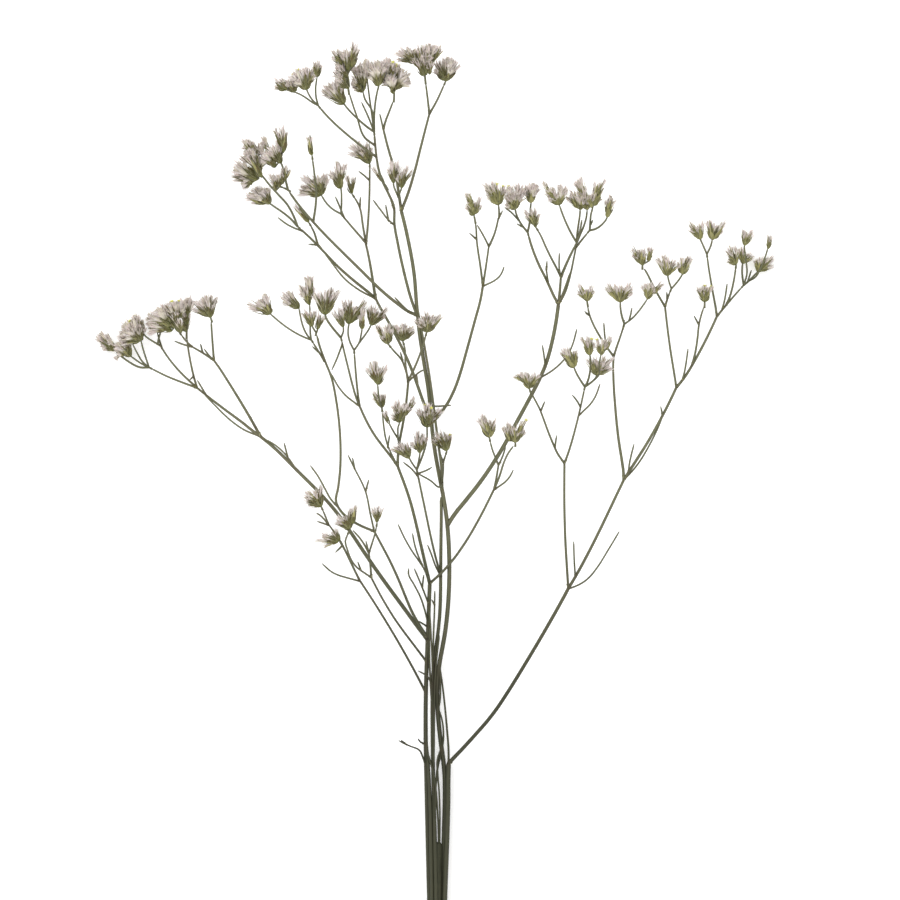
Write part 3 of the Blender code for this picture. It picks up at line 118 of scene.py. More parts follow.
# %% A camera straight above
PICTURE_SIDE = 324 * MM
PICTURE_MIDDLE = place((4.68, 198, 20))
SENSOR = 36.0
LENS = 300.0

camera_data = bpy.data.cameras.new("camera")
camera_data.sensor_width = SENSOR
camera_data.lens = LENS
camera_data.clip_end = 30
camera = bpy.data.objects.new("camera", camera_data)
camera.location = PICTURE_MIDDLE + Vector((0, 0, PICTURE_SIDE * LENS / SENSOR))
bpy.context.scene.collection.objects.link(camera)
bpy.context.scene.camera = camera
print("the camera hangs", round(camera.location.z, 2), "m up")

# %% [markdown]
# ## Nodes and colours
#
# Every finish is a few nodes. One helper adds a node with its settings and links, and one turns the
# hex colours that pickers show, which are sRGB, into the linear values that shaders add up.

# %% Two helpers for materials
def linear(hex_colour):
    """An sRGB hex colour as linear red, green, blue and alpha."""
    shares = [int(hex_colour[at:at + 2], 16) / 255 for at in (1, 3, 5)]
    return (*(share / 12.92 if share <= 0.04045 else ((share + 0.055) / 1.055) ** 2.4
              for share in shares), 1.0)


def add(tree, kind, inputs=None, **settings):
    """Adds a node. Inputs are its sockets' values, or the sockets that feed them."""
    node = tree.nodes.new("ShaderNode" + kind)
    for name, value in settings.items():
        setattr(node, name, value)
    for socket, value in (inputs or {}).items():
        if isinstance(value, bpy.types.NodeSocket):
            tree.links.new(value, node.inputs[socket])
        else:
            node.inputs[socket].default_value = value
    return node


def new_material(name, roughness):
    """A material with its node tree and its Principled shader."""
    material = bpy.data.materials.new(name)
    material.use_nodes = True
    shader = material.node_tree.nodes["Principled BSDF"]
    shader.inputs["Roughness"].default_value = roughness
    return material, material.node_tree, shader.inputs


# %% [markdown]
# ## Table and light
#
# The photograph's background is blown out to white and has no shadow to speak of. A white table that
# glows a little, as a light table does, under a bright sky and one broad soft lamp comes close: it
# reads as white, and only a breath of shadow is left where the spray touches it.

# %% A pale table under soft light
TABLE_SIDE = 8.0
SKY = 1.05
TABLE_GLOW = 0.3
LAMP_SIDE = 1.6
LAMP_PLACE = Vector((-1.1, 1.3, 1.9))
LAMP_WATTS = 18

table_form = bmesh.new()
bmesh.ops.create_grid(table_form, x_segments=1, y_segments=1, size=TABLE_SIDE / 2)
bmesh.ops.translate(table_form, verts=table_form.verts, vec=(0, 0, -0.1 * MM))
table_mesh = bpy.data.meshes.new("table")
table_form.to_mesh(table_mesh)
table_form.free()
table = bpy.data.objects.new("table", table_mesh)
bpy.context.scene.collection.objects.link(table)
paint, paint_tree, paint_inputs = new_material("matt_white_paint", 0.9)
paint_inputs["Base Color"].default_value = linear("#FAFAF9")
paint_inputs["Emission Color"].default_value = (1, 1, 1, 1)
paint_inputs["Emission Strength"].default_value = TABLE_GLOW
table_mesh.materials.append(paint)
table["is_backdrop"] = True

world = bpy.data.worlds.new("soft_sky")
world.use_nodes = True
world.node_tree.nodes["Background"].inputs["Color"].default_value = (1, 1, 1, 1)
world.node_tree.nodes["Background"].inputs["Strength"].default_value = SKY
bpy.context.scene.world = world
bpy.context.scene.view_settings.view_transform = "Standard"

lamp_data = bpy.data.lights.new("soft_lamp", "AREA")
lamp_data.size = LAMP_SIDE
lamp_data.energy = LAMP_WATTS
lamp = bpy.data.objects.new("soft_lamp", lamp_data)
lamp.location = LAMP_PLACE
lamp.rotation_euler = (-LAMP_PLACE).to_track_quat("-Z", "Y").to_euler()
bpy.context.scene.collection.objects.link(lamp)
print("lamp", LAMP_WATTS, "W at", tuple(LAMP_PLACE))

# %% [markdown]
# ## Dried green stem
#
# A fresh stem of this plant is green and finely ribbed. Dried, it goes a greyed olive, nearly black
# towards the foot, and its ribs catch the light as hair-thin lines. The upper side of each branch is
# painted paler, a painted highlight for the light from above, and dull brown rings stay where it
# forks. The pattern has to run along each branch, whichever way it points, so the mesh carries an
# attribute: the way out from the branch's middle, shifted by how far along it is. Noise that is read
# there is stretched along the branch, and its upward part sets the painted highlight. A second
# attribute tells how near a fork is.

# %% Stem material
RIBS_ROUND = 2.6
RIB_DEPTH = 0.05 * MM
FOOT_DARK_FROM, FOOT_DARK_TO = place((0, 180, 0)).y, place((0, 112, 0)).y

stem_finish, tree, sockets = new_material("dried_olive_stem", 0.62)
grain = add(tree, "Attribute", attribute_name="grain").outputs["Vector"]
ribs = add(tree, "TexNoise", {"Vector": grain, "Scale": RIBS_ROUND, "Detail": 3.0}).outputs["Fac"]
spot = add(tree, "TexCoord").outputs["Object"]
patches = add(tree, "TexNoise", {"Vector": spot, "Scale": 60.0, "Detail": 2.0}).outputs["Fac"]
height = add(tree, "SeparateXYZ", {0: spot}).outputs["Y"]
near_foot = add(tree, "MapRange", {0: height, 1: FOOT_DARK_FROM, 2: FOOT_DARK_TO, 4: 0.75}).outputs[0]
light_rib = add(tree, "MapRange", {0: ribs, 1: 0.38, 2: 0.68}).outputs[0]
green = add(tree, "Mix", {0: light_rib, 6: linear("#3E402A"), 7: linear("#696A4B")}, data_type="RGBA")
patch = add(tree, "MapRange", {0: patches, 1: 0.5, 2: 0.72, 4: 0.7}).outputs[0]
greyed = add(tree, "Mix", {0: patch, 6: green.outputs[2], 7: linear("#625A45")}, data_type="RGBA")
# The upward-facing side of each branch is painted paler, a painted highlight for light from above.
upward = add(tree, "SeparateXYZ", {0: grain}).outputs["Z"]
painted_top_highlight = add(tree, "MapRange", {0: upward, 1: 0.45, 2: 1.0, 4: 0.5}).outputs[0]
pale = add(tree, "Mix", {0: painted_top_highlight, 6: greyed.outputs[2], 7: linear("#858468")}, data_type="RGBA")
footed = add(tree, "Mix", {0: near_foot, 6: pale.outputs[2], 7: linear("#25261A")}, data_type="RGBA")
fork = add(tree, "Attribute", attribute_name="fork").outputs["Fac"]
ring = add(tree, "Math", {0: fork, 1: 0.6}, operation="MULTIPLY").outputs[0]
forked = add(tree, "Mix", {0: ring, 6: footed.outputs[2], 7: linear("#463A2B")}, data_type="RGBA")
tree.links.new(forked.outputs[2], sockets["Base Color"])
sockets["Specular IOR Level"].default_value = 0.3
bump = add(tree, "Bump", {"Height": ribs, "Distance": RIB_DEPTH, "Strength": 0.8})
tree.links.new(bump.outputs["Normal"], sockets["Normal"])
print(stem_finish.name, len(tree.nodes), "nodes")

# %% [markdown]
# ## Cut pith
#
# The foot was cut through with shears. The cut shows the stem's pale, spongy pith inside a thin
# green rind.

# %% Pith material
pith, tree, sockets = new_material("cut_pith", 0.85)
spot = add(tree, "TexCoord").outputs["Object"]
pores = add(tree, "TexNoise", {"Vector": spot, "Scale": 3000.0, "Detail": 2.0}).outputs["Fac"]
mottled = add(tree, "Mix", {0: pores, 6: linear("#8F7F58"), 7: linear("#D6CBA6")}, data_type="RGBA")
tree.links.new(mottled.outputs[2], sockets["Base Color"])
print(pith.name)

# %% [markdown]
# ## Bracts
#
# A bract is a small stiff leaf. Dried, it is olive with a yellow-green foot and straw-coloured
# streaks, its tip has gone brown, and its margin is a thin pale skin. Each one carries an attribute
# with three numbers: how far across it is, from minus one to one, how far along, from zero to one,
# and its age, from a young straw-green one to an old brown one.

# %% Bract material
BRACT_VEINS = 7.0

bract_finish, tree, sockets = new_material("dried_bract", 0.66)
leaf = add(tree, "SeparateXYZ", {0: add(tree, "Attribute", attribute_name="leaf").outputs["Vector"]})
across, along, age = leaf.outputs
from_keel = add(tree, "Math", {0: across}, operation="ABSOLUTE").outputs[0]
foot_green = add(tree, "MapRange", {0: along, 1: 0.0, 2: 0.5}, interpolation_type="SMOOTHSTEP")
body = add(tree, "Mix", {0: foot_green.outputs[0], 6: linear("#747A3C"), 7: linear("#44451F")},
           data_type="RGBA")
young = add(tree, "MapRange", {0: age, 1: 0.5, 2: 0.05, 4: 0.85}).outputs[0]
fresher = add(tree, "Mix", {0: young, 6: body.outputs[2], 7: linear("#B4AF74")}, data_type="RGBA")
veins = add(tree, "TexNoise", {"Vector": add(tree, "CombineXYZ", {0: across, 1: age}).outputs[0],
                               "Scale": BRACT_VEINS, "Detail": 2.0}).outputs["Fac"]
vein = add(tree, "MapRange", {0: veins, 1: 0.46, 2: 0.62, 4: 0.7}).outputs[0]
veined = add(tree, "Mix", {0: vein, 6: fresher.outputs[2], 7: linear("#9C9766")}, data_type="RGBA")
aged = add(tree, "Math", {0: along, 1: age, 2: -0.12}, operation="MULTIPLY_ADD").outputs[0]
tip_brown = add(tree, "MapRange", {0: aged, 1: 0.2, 2: 0.75, 4: 0.75}, interpolation_type="SMOOTHSTEP")
browned = add(tree, "Mix", {0: tip_brown.outputs[0], 6: veined.outputs[2], 7: linear("#5E4B2C")},
              data_type="RGBA")
margin = add(tree, "MapRange", {0: from_keel, 1: 0.66, 2: 1.0, 4: 0.9}).outputs[0]
edged = add(tree, "Mix", {0: margin, 6: browned.outputs[2], 7: linear("#CBC7A8")}, data_type="RGBA")
tree.links.new(edged.outputs[2], sockets["Base Color"])
sockets["Specular IOR Level"].default_value = 0.3
bump = add(tree, "Bump", {"Height": veins, "Distance": 0.05 * MM, "Strength": 0.7})
tree.links.new(bump.outputs["Normal"], sockets["Normal"])
print(bract_finish.name, len(tree.nodes), "nodes")

# %% [markdown]
# ## Papery flower cups
#
# The cup that holds each flower dries to thin, matt paper: creamy white at the rim, straw-coloured
# along its ribs and at its foot. The withered petals inside are a little pinker. Both are thin
# enough to let light through, so a translucent shader takes a share of each.

# %% Cup and petal materials
SEE_LIGHT = 0.25


def let_light_through(tree, colour):
    """Mixes a translucent shader into a material, as in thin paper."""
    glow = add(tree, "BsdfTranslucent", {"Color": colour})
    thin = add(tree, "MixShader", {0: SEE_LIGHT, 1: tree.nodes["Principled BSDF"].outputs[0],
                                   2: glow.outputs[0]})
    tree.links.new(thin.outputs[0], tree.nodes["Material Output"].inputs["Surface"])


paper, tree, sockets = new_material("papery_calyx", 0.85)
leaf = add(tree, "SeparateXYZ", {0: add(tree, "Attribute", attribute_name="leaf").outputs["Vector"]})
across, along, draw = leaf.outputs
rib = add(tree, "MapRange", {0: across, 1: 0.5, 2: 1.0, 4: 0.35}).outputs[0]
pale = add(tree, "Mix", {0: draw, 6: linear("#FAF5EA"), 7: linear("#EFE5D8")}, data_type="RGBA")
ribbed = add(tree, "Mix", {0: rib, 6: pale.outputs[2], 7: linear("#B9B092")}, data_type="RGBA")
low = add(tree, "MapRange", {0: along, 1: 0.1, 2: 0.55, 3: 0.85, 4: 0.0}).outputs[0]
footed = add(tree, "Mix", {0: low, 6: ribbed.outputs[2], 7: linear("#938E4E")}, data_type="RGBA")
tree.links.new(footed.outputs[2], sockets["Base Color"])
sockets["Specular IOR Level"].default_value = 0.2
let_light_through(tree, footed.outputs[2])
print(paper.name, len(tree.nodes), "nodes")

petal_finish, tree, sockets = new_material("withered_petal", 0.8)
leaf = add(tree, "SeparateXYZ", {0: add(tree, "Attribute", attribute_name="leaf").outputs["Vector"]})
across, along, draw = leaf.outputs
whitish = add(tree, "Mix", {0: draw, 6: linear("#FBF5F1"), 7: linear("#EBDDD7")}, data_type="RGBA")
low = add(tree, "MapRange", {0: along, 1: 0.0, 2: 0.45, 3: 0.6, 4: 0.0}).outputs[0]
footed = add(tree, "Mix", {0: low, 6: whitish.outputs[2], 7: linear("#B0A880")}, data_type="RGBA")
tree.links.new(footed.outputs[2], sockets["Base Color"])
sockets["Specular IOR Level"].default_value = 0.2
let_light_through(tree, footed.outputs[2])
print(petal_finish.name, len(tree.nodes), "nodes")

# %% [markdown]
# ## Anthers
#
# A few flowers opened before the spray was dried. Their anthers are grains of yellow pollen.

# %% Anther material
pollen, tree, sockets = new_material("dry_pollen", 0.9)
spot = add(tree, "TexCoord").outputs["Object"]
grains = add(tree, "TexNoise", {"Vector": spot, "Scale": 4000.0}).outputs["Fac"]
dusty = add(tree, "Mix", {0: grains, 6: linear("#C9C64A"), 7: linear("#EEEE9A")}, data_type="RGBA")
tree.links.new(dusty.outputs[2], sockets["Base Color"])
print(pollen.name)

# %% [markdown]
# ## How the spray grows
#
# Each branch starts on the line of the branch that it grows from. A branch is drawn as flat points
# with a few heights, the way it would be traced on paper, and the heights in between follow the
# length. Keeping the plant as a tree of branches means that a twig can't come loose from its stem.

# %% Branches
# Branch diameters in millimetres, at the branch's start and at its tip.
MAIN = (1.9, 1.25)
SIDE = (1.1, 0.8)
TWIG = (0.85, 0.65)
FINE = (0.7, 0.6)
FOOT = (5.6, 3.4)
# A branch that starts at another's tip is tucked this far back inside it.
TUCK = 0.8

branches = []


class Branch:
    """A round branch: its middle line, its diameters at both ends and the node it belongs to."""

    def __init__(self, parent, line, thick, node):
        self.parent = parent
        self.line = line
        self.thick = thick
        self.node = node
        self.spikelets = []

    def tip(self):
        return self.line[-1]

    def forward(self):
        return (self.line[-1] - self.line[-2]).normalized()


def on_line(line, across, along):
    """The place on a branch's middle line that is nearest a spot, as seen from above."""
    spot = Vector((across, along))
    places = []
    for start, end in zip(line, line[1:]):
        run = end.xy - start.xy
        share = (spot - start.xy).dot(run) / run.length_squared
        places.append(start.lerp(end, min(1.0, max(0.0, share))))
    nearest = min(places, key=lambda place: (place.xy - spot).length)
    if (nearest - line[-1]).length < TUCK:
        nearest = line[-1].lerp(line[-2], min(0.5, TUCK / (line[-1] - line[-2]).length))
    return nearest


def with_heights(flat, known):
    """Turns flat points into a line in space. Heights between the known ones follow the length."""
    lengths = [0.0]
    for start, end in zip(flat, flat[1:]):
        lengths.append(lengths[-1] + (end - start).length)
    stations = [lengths[index] for index in known]
    heights = [known[index] for index in known]
    return [Vector((spot.x, spot.y, np.interp(length, stations, heights)))
            for spot, length in zip(flat, lengths)]


def grow(parent, thick, *points):
    """Adds a branch and gives it back. Its first point is put on the line of the one it grows from."""
    flat = [Vector(point[:2]) for point in points]
    known = {index: point[2] for index, point in enumerate(points) if len(point) == 3}
    if parent:
        start = on_line(parent.line, *flat[0])
        flat[0] = start.xy
        known[0] = start.z
    line = with_heights(flat, dict(sorted(known.items())))
    branches.append(Branch(parent, line, thick, parent.node if parent else "stem"))
    return branches[-1]


# %% [markdown]
# ## How the heads sit
#
# A head is a short stalk past a twig's tip with its buds on thin pedicels. A bud, which botanists
# call a spikelet, is written as where its foot and its tip are, how far it leans up from the twig's
# height and, if it is unlike the others, its size and how open it is, from zero to one.

# %% Heads
NARROW = 0.7
WIDE = 1.15
STALK_GAP = 0.42
STALK_LENGTH = 0.9
# A twig goes on to just short of its buds' feet, if they are further off than the second value.
SHORT_OF_FEET = 0.9
LEAST_REACH = 1.2


def bunch(name, twig):
    """Starts a flower head of its own past a twig's tip: the stalk that its pedicels grow from."""
    start = twig.tip() + twig.forward() * STALK_GAP
    line = [start, start + twig.forward() * STALK_LENGTH]
    branches.append(Branch(twig, line, TWIG, name))
    return branches[-1]


def florets(twig, *spikelets):
    """Adds spikelets at a twig's tip. Each is its foot, its tip and its lean, and size and openness."""
    feet = [Vector(foot) for foot, *rest in spikelets]
    middle = sum(feet, Vector((0, 0))) / len(feet)
    reach = middle - twig.tip().xy
    if reach.length > LEAST_REACH:
        end = twig.tip().xy + reach * (1 - SHORT_OF_FEET / reach.length)
        twig.line.append(Vector((*end, twig.tip().z)))
    twig.spikelets.extend(spikelets)


def head(name, twig, *spikelets):
    """A flower head on one stalk."""
    florets(bunch(name, twig), *spikelets)


print("a bud is about", round(8 * NARROW, 1), "to", round(8 * WIDE, 1), "mm long")

# %% [markdown]
# ## Foot and strands
#
# Low down, the stem is a tight bundle: five strands that ran together at the foot and part one by
# one higher up, with thinner ones between them. They rise from a stout cut foot, and the bundle
# keeps a few short dead twigs.

# %% Foot and strands
def foot_and_bundle():
    grow(None, FOOT, (-0.2, 0, 2.9), (-0.1, 20, 2.9), (0.1, 39, 3.1), (0.3, 56, 3.4))
    outer = grow(None, (1.9, 1.45), (-1.7, 0, 2.4), (-2.3, 20), (-2.9, 39, 2.5), (-3.4, 60), (-3.7, 74),
                 (-4.0, 85, 3.6), (-4.1, 92), (-4.2, 100), (-4.1, 110), (-3.8, 120), (-3.4, 130),
                 (-3.0, 140), (-2.6, 150.6, 9.0))
    grow(None, (1.7, 1.2), (-1.0, 0, 4.2), (-1.5, 20), (-1.9, 39, 4.7), (-2.2, 60), (-2.6, 74),
         (-3.1, 84, 5.0), (-4.0, 93, 4.2))
    second = grow(None, (1.7, 1.15), (0.1, 0, 4.6), (-0.4, 39, 5.2), (-0.8, 60), (-1.3, 74),
                  (-1.5, 85, 4.6), (-1.7, 97), (-1.8, 110, 6.0), (-1.4, 120), (-0.7, 125.5), (0.2, 130),
                  (0.9, 136.5), (1.4, 145), (1.2, 152, 8.5), (1.4, 165), (1.6, 174), (1.5, 181, 13.2))
    main = grow(None, MAIN, (1.3, 0, 2.2), (1.8, 39, 2.6), (2.7, 60), (2.9, 74), (2.9, 80, 3.6),
                (2.4, 85), (1.5, 90.5), (0.9, 96), (0.2, 103), (-0.1, 110, 6.0), (0.2, 115.5), (0.8, 121),
                (1.8, 126), (2.9, 131), (3.9, 139.5), (4.5, 149, 10.0), (4.5, 158), (4.2, 166),
                (3.6, 173), (2.6, 180), (1.1, 187, 14.0), (-0.7, 197), (-2.0, 205), (-2.1, 212),
                (-3.0, 220), (-4.9, 230.4), (-6.6, 241), (-7.4, 250, 24.0), (-8.0, 262), (-10.0, 272),
                (-12.0, 281), (-13.0, 284.5, 31.5))
    right = grow(None, (2.0, 1.75), (1.9, 0, 3.9), (2.7, 39, 4.4), (3.7, 60), (4.1, 70), (3.9, 80),
                 (4.2, 85.3, 4.9))
    grow(main, FINE, (0.6, 90), (-0.1, 86, 5.9), (0.2, 80), (0.8, 75, 5.9), (1.1, 68), (0.9, 53, 3.6))
    grow(right, TWIG, (4.3, 84), (4.3, 89, 6.2), (3.6, 97), (2.8, 106), (1.9, 114), (0.9, 120, 6.9))
    grow(main, FINE, (1.8, 89), (2.5, 94, 6.2), (1.9, 101, 6.6), (0.3, 105, 5.9))
    beside = grow(main, (1.0, 0.8), (1.9, 183.5), (1.9, 190, 16.6), (0.4, 200), (-1.0, 212), (-2.2, 222),
                  (-4.2, 234), (-5.9, 243), (-7.2, 250, 24.3))
    grow(second, TWIG, (-1.3, 76), (-1.2, 90, 5.8), (-1.0, 100), (-1.0, 110, 6.6), (-0.6, 119),
         (0.2, 126), (0.8, 131, 8.4))
    grow(second, TWIG, (-1.7, 104), (-2.2, 112, 7.2), (-2.8, 120, 7.4), (-2.9, 128, 8.2),
         (-2.6, 134, 9.6))
    grow(second, FINE, (-1.8, 113), (-1.6, 120, 8.0), (-2.0, 127, 8.6), (-2.3, 134), (-2.7, 140, 10.8))
    grow(main, TWIG, (0.9, 89), (0.2, 84, 5.6), (-0.6, 77), (-0.8, 68, 5.6), (-0.3, 53, 3.6))
    grow(outer, TWIG, (-4.0, 90), (-3.0, 86.5, 5.4), (-1.4, 82.5, 6.0), (-0.5, 76, 5.6), (0.3, 68, 5.2),
         (0.7, 53, 3.6))
    grow(main, FINE, (0.2, 103), (1.2, 107, 7.0), (1.3, 114, 7.2), (1.0, 119, 7.3))
    grow(outer, FINE, (-4.1, 91.5), (-6.2, 92.1), (-6.9, 93.5, 6.5))
    hook = grow(outer, FINE, (-4.2, 83), (-5.4, 87.4), (-6.0, 89.4), (-9.5, 90.8), (-12, 91.8),
                (-13.9, 93, 9.0))
    grow(hook, FINE, (-11, 91.4), (-12.9, 93.1, 10.5))
    grow(second, FINE, (-1.8, 112.5), (-3.3, 116.4, 8.6), (-6.8, 118.2, 10.5))
    grow(outer, FINE, (-3.4, 134), (-5.5, 135.5), (-6.9, 136.2, 11.0))
    middle = grow(second, FINE, (-1.4, 121), (-1.5, 127, 8.6), (-1.2, 133), (-0.9, 139),
                  (-0.8, 147.2, 12.0))
    grow(middle, FINE, (-0.9, 142), (-1.9, 144, 13.0))
    grow(outer, FINE, (-3.4, 135), (-4.6, 141), (-5.9, 145.3), (-8.2, 149.3), (-10.6, 153.4),
         (-10.2, 155.3, 17.0))
    dead = grow(outer, FINE, (-3.1, 142), (-5.2, 148), (-6.8, 152), (-8.2, 155.2, 14.0))
    grow(dead, FINE, (-5.2, 148.4), (-4.8, 152.9, 14.5))
    grow(main, FINE, (-2.1, 213.8), (0.9, 213.7, 22.0), (5.1, 214.1, 24.5))
    return outer, second, main, right, beside


outer, second, main, right, beside = foot_and_bundle()
print(len(branches), "branches so far")

# %% [markdown]
# ## Crown
#
# The main strand fans out into the crown, the densest part of the spray. Its heads overlap, so they
# differ in height by a few millimetres and pass over one another.

# %% Crown
def crown(main):
    right = grow(main, SIDE, (-13, 284.5), (-10.5, 289), (-8, 297), (-6, 306), (-3.8, 314),
                 (-2.5, 319, 37))
    twig = grow(right, TWIG, (-2.5, 319), (-3.2, 323), (-4, 329, 40))
    head("crown_head_1", twig, ((-7.5, 336), (-15, 340.6), -3), ((-8, 336.6), (-13.6, 341.8), 0),
         ((-7.8, 337), (-10.6, 342.2), 2), ((-7.4, 337.4), (-7.9, 341.8), -2, NARROW),
         ((-4.6, 331.4), (-7.5, 337.2), 3), ((-3.6, 331.8), (-5.2, 337.4), 5, NARROW),
         ((-3.4, 334.4), (-6.7, 342.6), 4), ((-3.5, 334.5), (-4.9, 343.5), 0),
         ((-3, 335), (-3.2, 343.5), 3, 1.0, 0.6), ((-2.4, 335.6), (-1.4, 343), 0, 1.0, 0.8),
         ((-2.6, 332), (-2.2, 336.6), 5, NARROW), ((-1.2, 337), (1.3, 342.6), 2, NARROW))
    twig = grow(right, TWIG, (-2.5, 319), (0, 322.5), (2.7, 329, 35))
    head("crown_head_2", twig, ((2.4, 331.4), (-1.6, 338), -2), ((2.8, 330.5), (0.9, 337.4), 2),
         ((3.2, 331), (3.3, 338), -2), ((3.6, 331.6), (5, 337.6), 3, 1.0, 0.8),
         ((4.4, 331.4), (6.3, 338.6), 0, 1.0, 0.8), ((4.6, 331), (8.2, 336.4), 1))
    middle = grow(main, SIDE, (-13, 284.5), (-13.8, 290), (-14.5, 297), (-16.5, 302), (-18, 308),
                  (-19.3, 313.3, 41))
    grow(middle, FINE, (-19.3, 313.3), (-20.4, 318, 43))
    left = grow(main, SIDE, (-7.6, 246), (-9.5, 252), (-12, 262), (-14, 272), (-15.5, 279, 26),
                (-15.3, 286), (-17, 289), (-20.5, 296), (-21.5, 301), (-22, 306), (-22.4, 311, 36))
    dead = grow(left, FINE, (-15.5, 279), (-17.2, 280), (-20, 284), (-23, 288, 21))
    grow(dead, FINE, (-17.4, 280.3), (-18.4, 286, 28))
    twig = grow(left, TWIG, (-15.4, 284.5), (-16.4, 287.5), (-17.8, 291.5, 26.5))
    head("crown_head_3", twig, ((-19.2, 294.3), (-23.6, 300.4), -3, NARROW))
    fork = grow(middle, FINE, (-13.4, 286.5), (-13.8, 288.4, 39))
    stalk = bunch("crown_head_4", fork)
    florets(grow(stalk, FINE, (-14, 289), (-15, 291), (-15.6, 292.6, 40)),
            ((-16, 294), (-16.4, 301.5), 3), ((-14.7, 294.5), (-14, 302), -2, NARROW))
    florets(grow(stalk, FINE, (-14, 289), (-12.7, 291, 41)), ((-12.9, 292.6), (-13, 298.6), 2, NARROW),
            ((-12.1, 292.6), (-10.4, 300), -1, NARROW))
    side = grow(left, (0.85, 0.75), (-21.8, 303), (-26, 306), (-30, 309), (-40, 318), (-42, 320.7, 32))
    stalk = bunch("crown_head_5", side)
    florets(grow(stalk, FINE, (-42.6, 321.2), (-44.9, 322.5), (-47, 324.5), (-49.3, 325.8, 30)),
            ((-54, 327), (-58.7, 331.2), -1), ((-53.8, 327.2), (-56.3, 331.4), 2, NARROW),
            ((-52.6, 326.8), (-54.2, 331), 0, NARROW), ((-50.2, 326.4), (-53.3, 329.8), 3, NARROW),
            ((-49.8, 326), (-51, 331.8), 1, 1.0, 0.8))
    florets(grow(stalk, FINE, (-42.6, 321.2), (-45, 323.4), (-46.5, 326.6, 35)),
            ((-48.2, 328), (-52.4, 333.2), -2, 1.0, 1.0), ((-47.6, 328), (-50.2, 335), 0, 1.0, 1.0),
            ((-47, 328.2), (-47.9, 335.2), 2, 1.0, 0.8), ((-46.4, 328), (-46.1, 335.2), 4, WIDE, 0.1),
            ((-45.6, 328), (-44.4, 335), 1, NARROW))
    florets(grow(stalk, FINE, (-42.6, 321.2), (-43.5, 324), (-43.6, 328), (-42.8, 331.4, 39)),
            ((-42.9, 332.4), (-43.7, 337.2), 1, NARROW), ((-42.7, 332.6), (-42.3, 337.6), 0, NARROW),
            ((-42.4, 332.2), (-41.2, 335.9), -1, NARROW))
    column = grow(left, TWIG, (-22.1, 307), (-26, 309.5, 38), (-28.5, 317), (-30, 321), (-31.2, 325, 47))
    head("crown_head_6", column, ((-31.5, 326.5), (-35, 330.5), 4, NARROW),
         ((-32, 327), (-35.6, 329), -2, NARROW), ((-32.4, 328.6), (-35.6, 332.2), 3),
         ((-32.5, 328), (-36.2, 334.2), -3, 1.0, 0.6), ((-33.8, 335), (-37.2, 340.6), 4),
         ((-34, 335.2), (-35.4, 341.2), 0, NARROW, 0.5), ((-32.2, 333), (-33.6, 341), -3, 1.0, 0.9),
         ((-31.7, 333), (-32, 340.8), 3), ((-31, 333.4), (-30.8, 340.6), 0, 1.0, 0.9),
         ((-30.4, 334.2), (-29.4, 343.5), 5), ((-30, 334.2), (-27.9, 341), 2, NARROW))
    stalk = bunch("crown_head_7", left)
    florets(grow(stalk, TWIG, (-22.5, 311.8), (-25, 313.6), (-28, 316), (-33, 321.6, 29)),
            ((-34.2, 322.8), (-41.6, 327), -4), ((-34.4, 323), (-40.4, 328.8), 0),
            ((-33.8, 323), (-38.8, 330.2), 2, 1.0, 0.6), ((-33.6, 323.2), (-36.8, 330.6), -1, 1.0, 0.7),
            ((-33.4, 323.2), (-34.8, 329.4), -3))
    grow(stalk, FINE, (-22.5, 311.8), (-24.5, 317.5), (-27, 322.5, 36))
    florets(grow(stalk, TWIG, (-22.5, 311.8), (-23.2, 320, 40), (-26, 323.2), (-26.4, 326, 42)),
            ((-27, 325.4), (-30.8, 328.2), -2, NARROW), ((-27.2, 325.6), (-29.6, 329.6), 1, NARROW),
            ((-27, 326.8), (-30.3, 331), 5, NARROW), ((-27, 328), (-29.4, 335.4), -2),
            ((-26.8, 328), (-28, 336), 2), ((-26.6, 328), (-26.6, 336.6), 0),
            ((-26.2, 327.8), (-25.4, 333.8), 4))
    florets(grow(stalk, FINE, (-22.5, 311.8), (-23.5, 320, 34), (-24.5, 326), (-25, 331.2, 33)),
            ((-25.1, 332.6), (-26.1, 337.4), 1, NARROW), ((-25, 332.6), (-25.2, 338.8), -1),
            ((-24.8, 332.6), (-23.8, 336.4), 0, NARROW))
    florets(grow(stalk, TWIG, (-22.5, 311.8), (-22.4, 318, 43), (-21.8, 324), (-20.9, 327, 48)),
            ((-20.8, 328.6), (-24, 334), -3, 1.0, 0.9), ((-20.6, 328.5), (-22.6, 336.6), 0, 1.0, 1.0),
            ((-20.2, 329), (-20.6, 337.2), 2, 1.0, 1.0), ((-19.8, 329), (-18.6, 336.4), -1))
    pale = grow(middle, TWIG, (-19.3, 313.3), (-18.4, 316), (-17, 318.5), (-15.6, 322.4, 43))
    head("crown_head_8", pale, ((-15.8, 325.4), (-18.6, 330.6), 3), ((-17.2, 329.4), (-19.4, 336.6), 3),
         ((-17, 330), (-17.4, 338.2), 0, WIDE), ((-16.6, 330.4), (-15.6, 336.8), 5, NARROW, 0.1),
         ((-15.6, 325), (-16.1, 332), 5), ((-15, 329.4), (-14.4, 336.2), 2, NARROW, 0.2),
         ((-14.6, 328.6), (-13, 335), 0), ((-14, 327.4), (-11.2, 334.2), 3),
         ((-13.6, 327), (-9.8, 333.2), -3, 1.0, 0.3), ((-13.6, 326.6), (-9.4, 331), 0))


crown(main)
print(len(branches), "branches so far")

# %% [markdown]
# ## Shoulder
#
# Two strands cross on their way to the upper left and end in a broad cluster of heads.

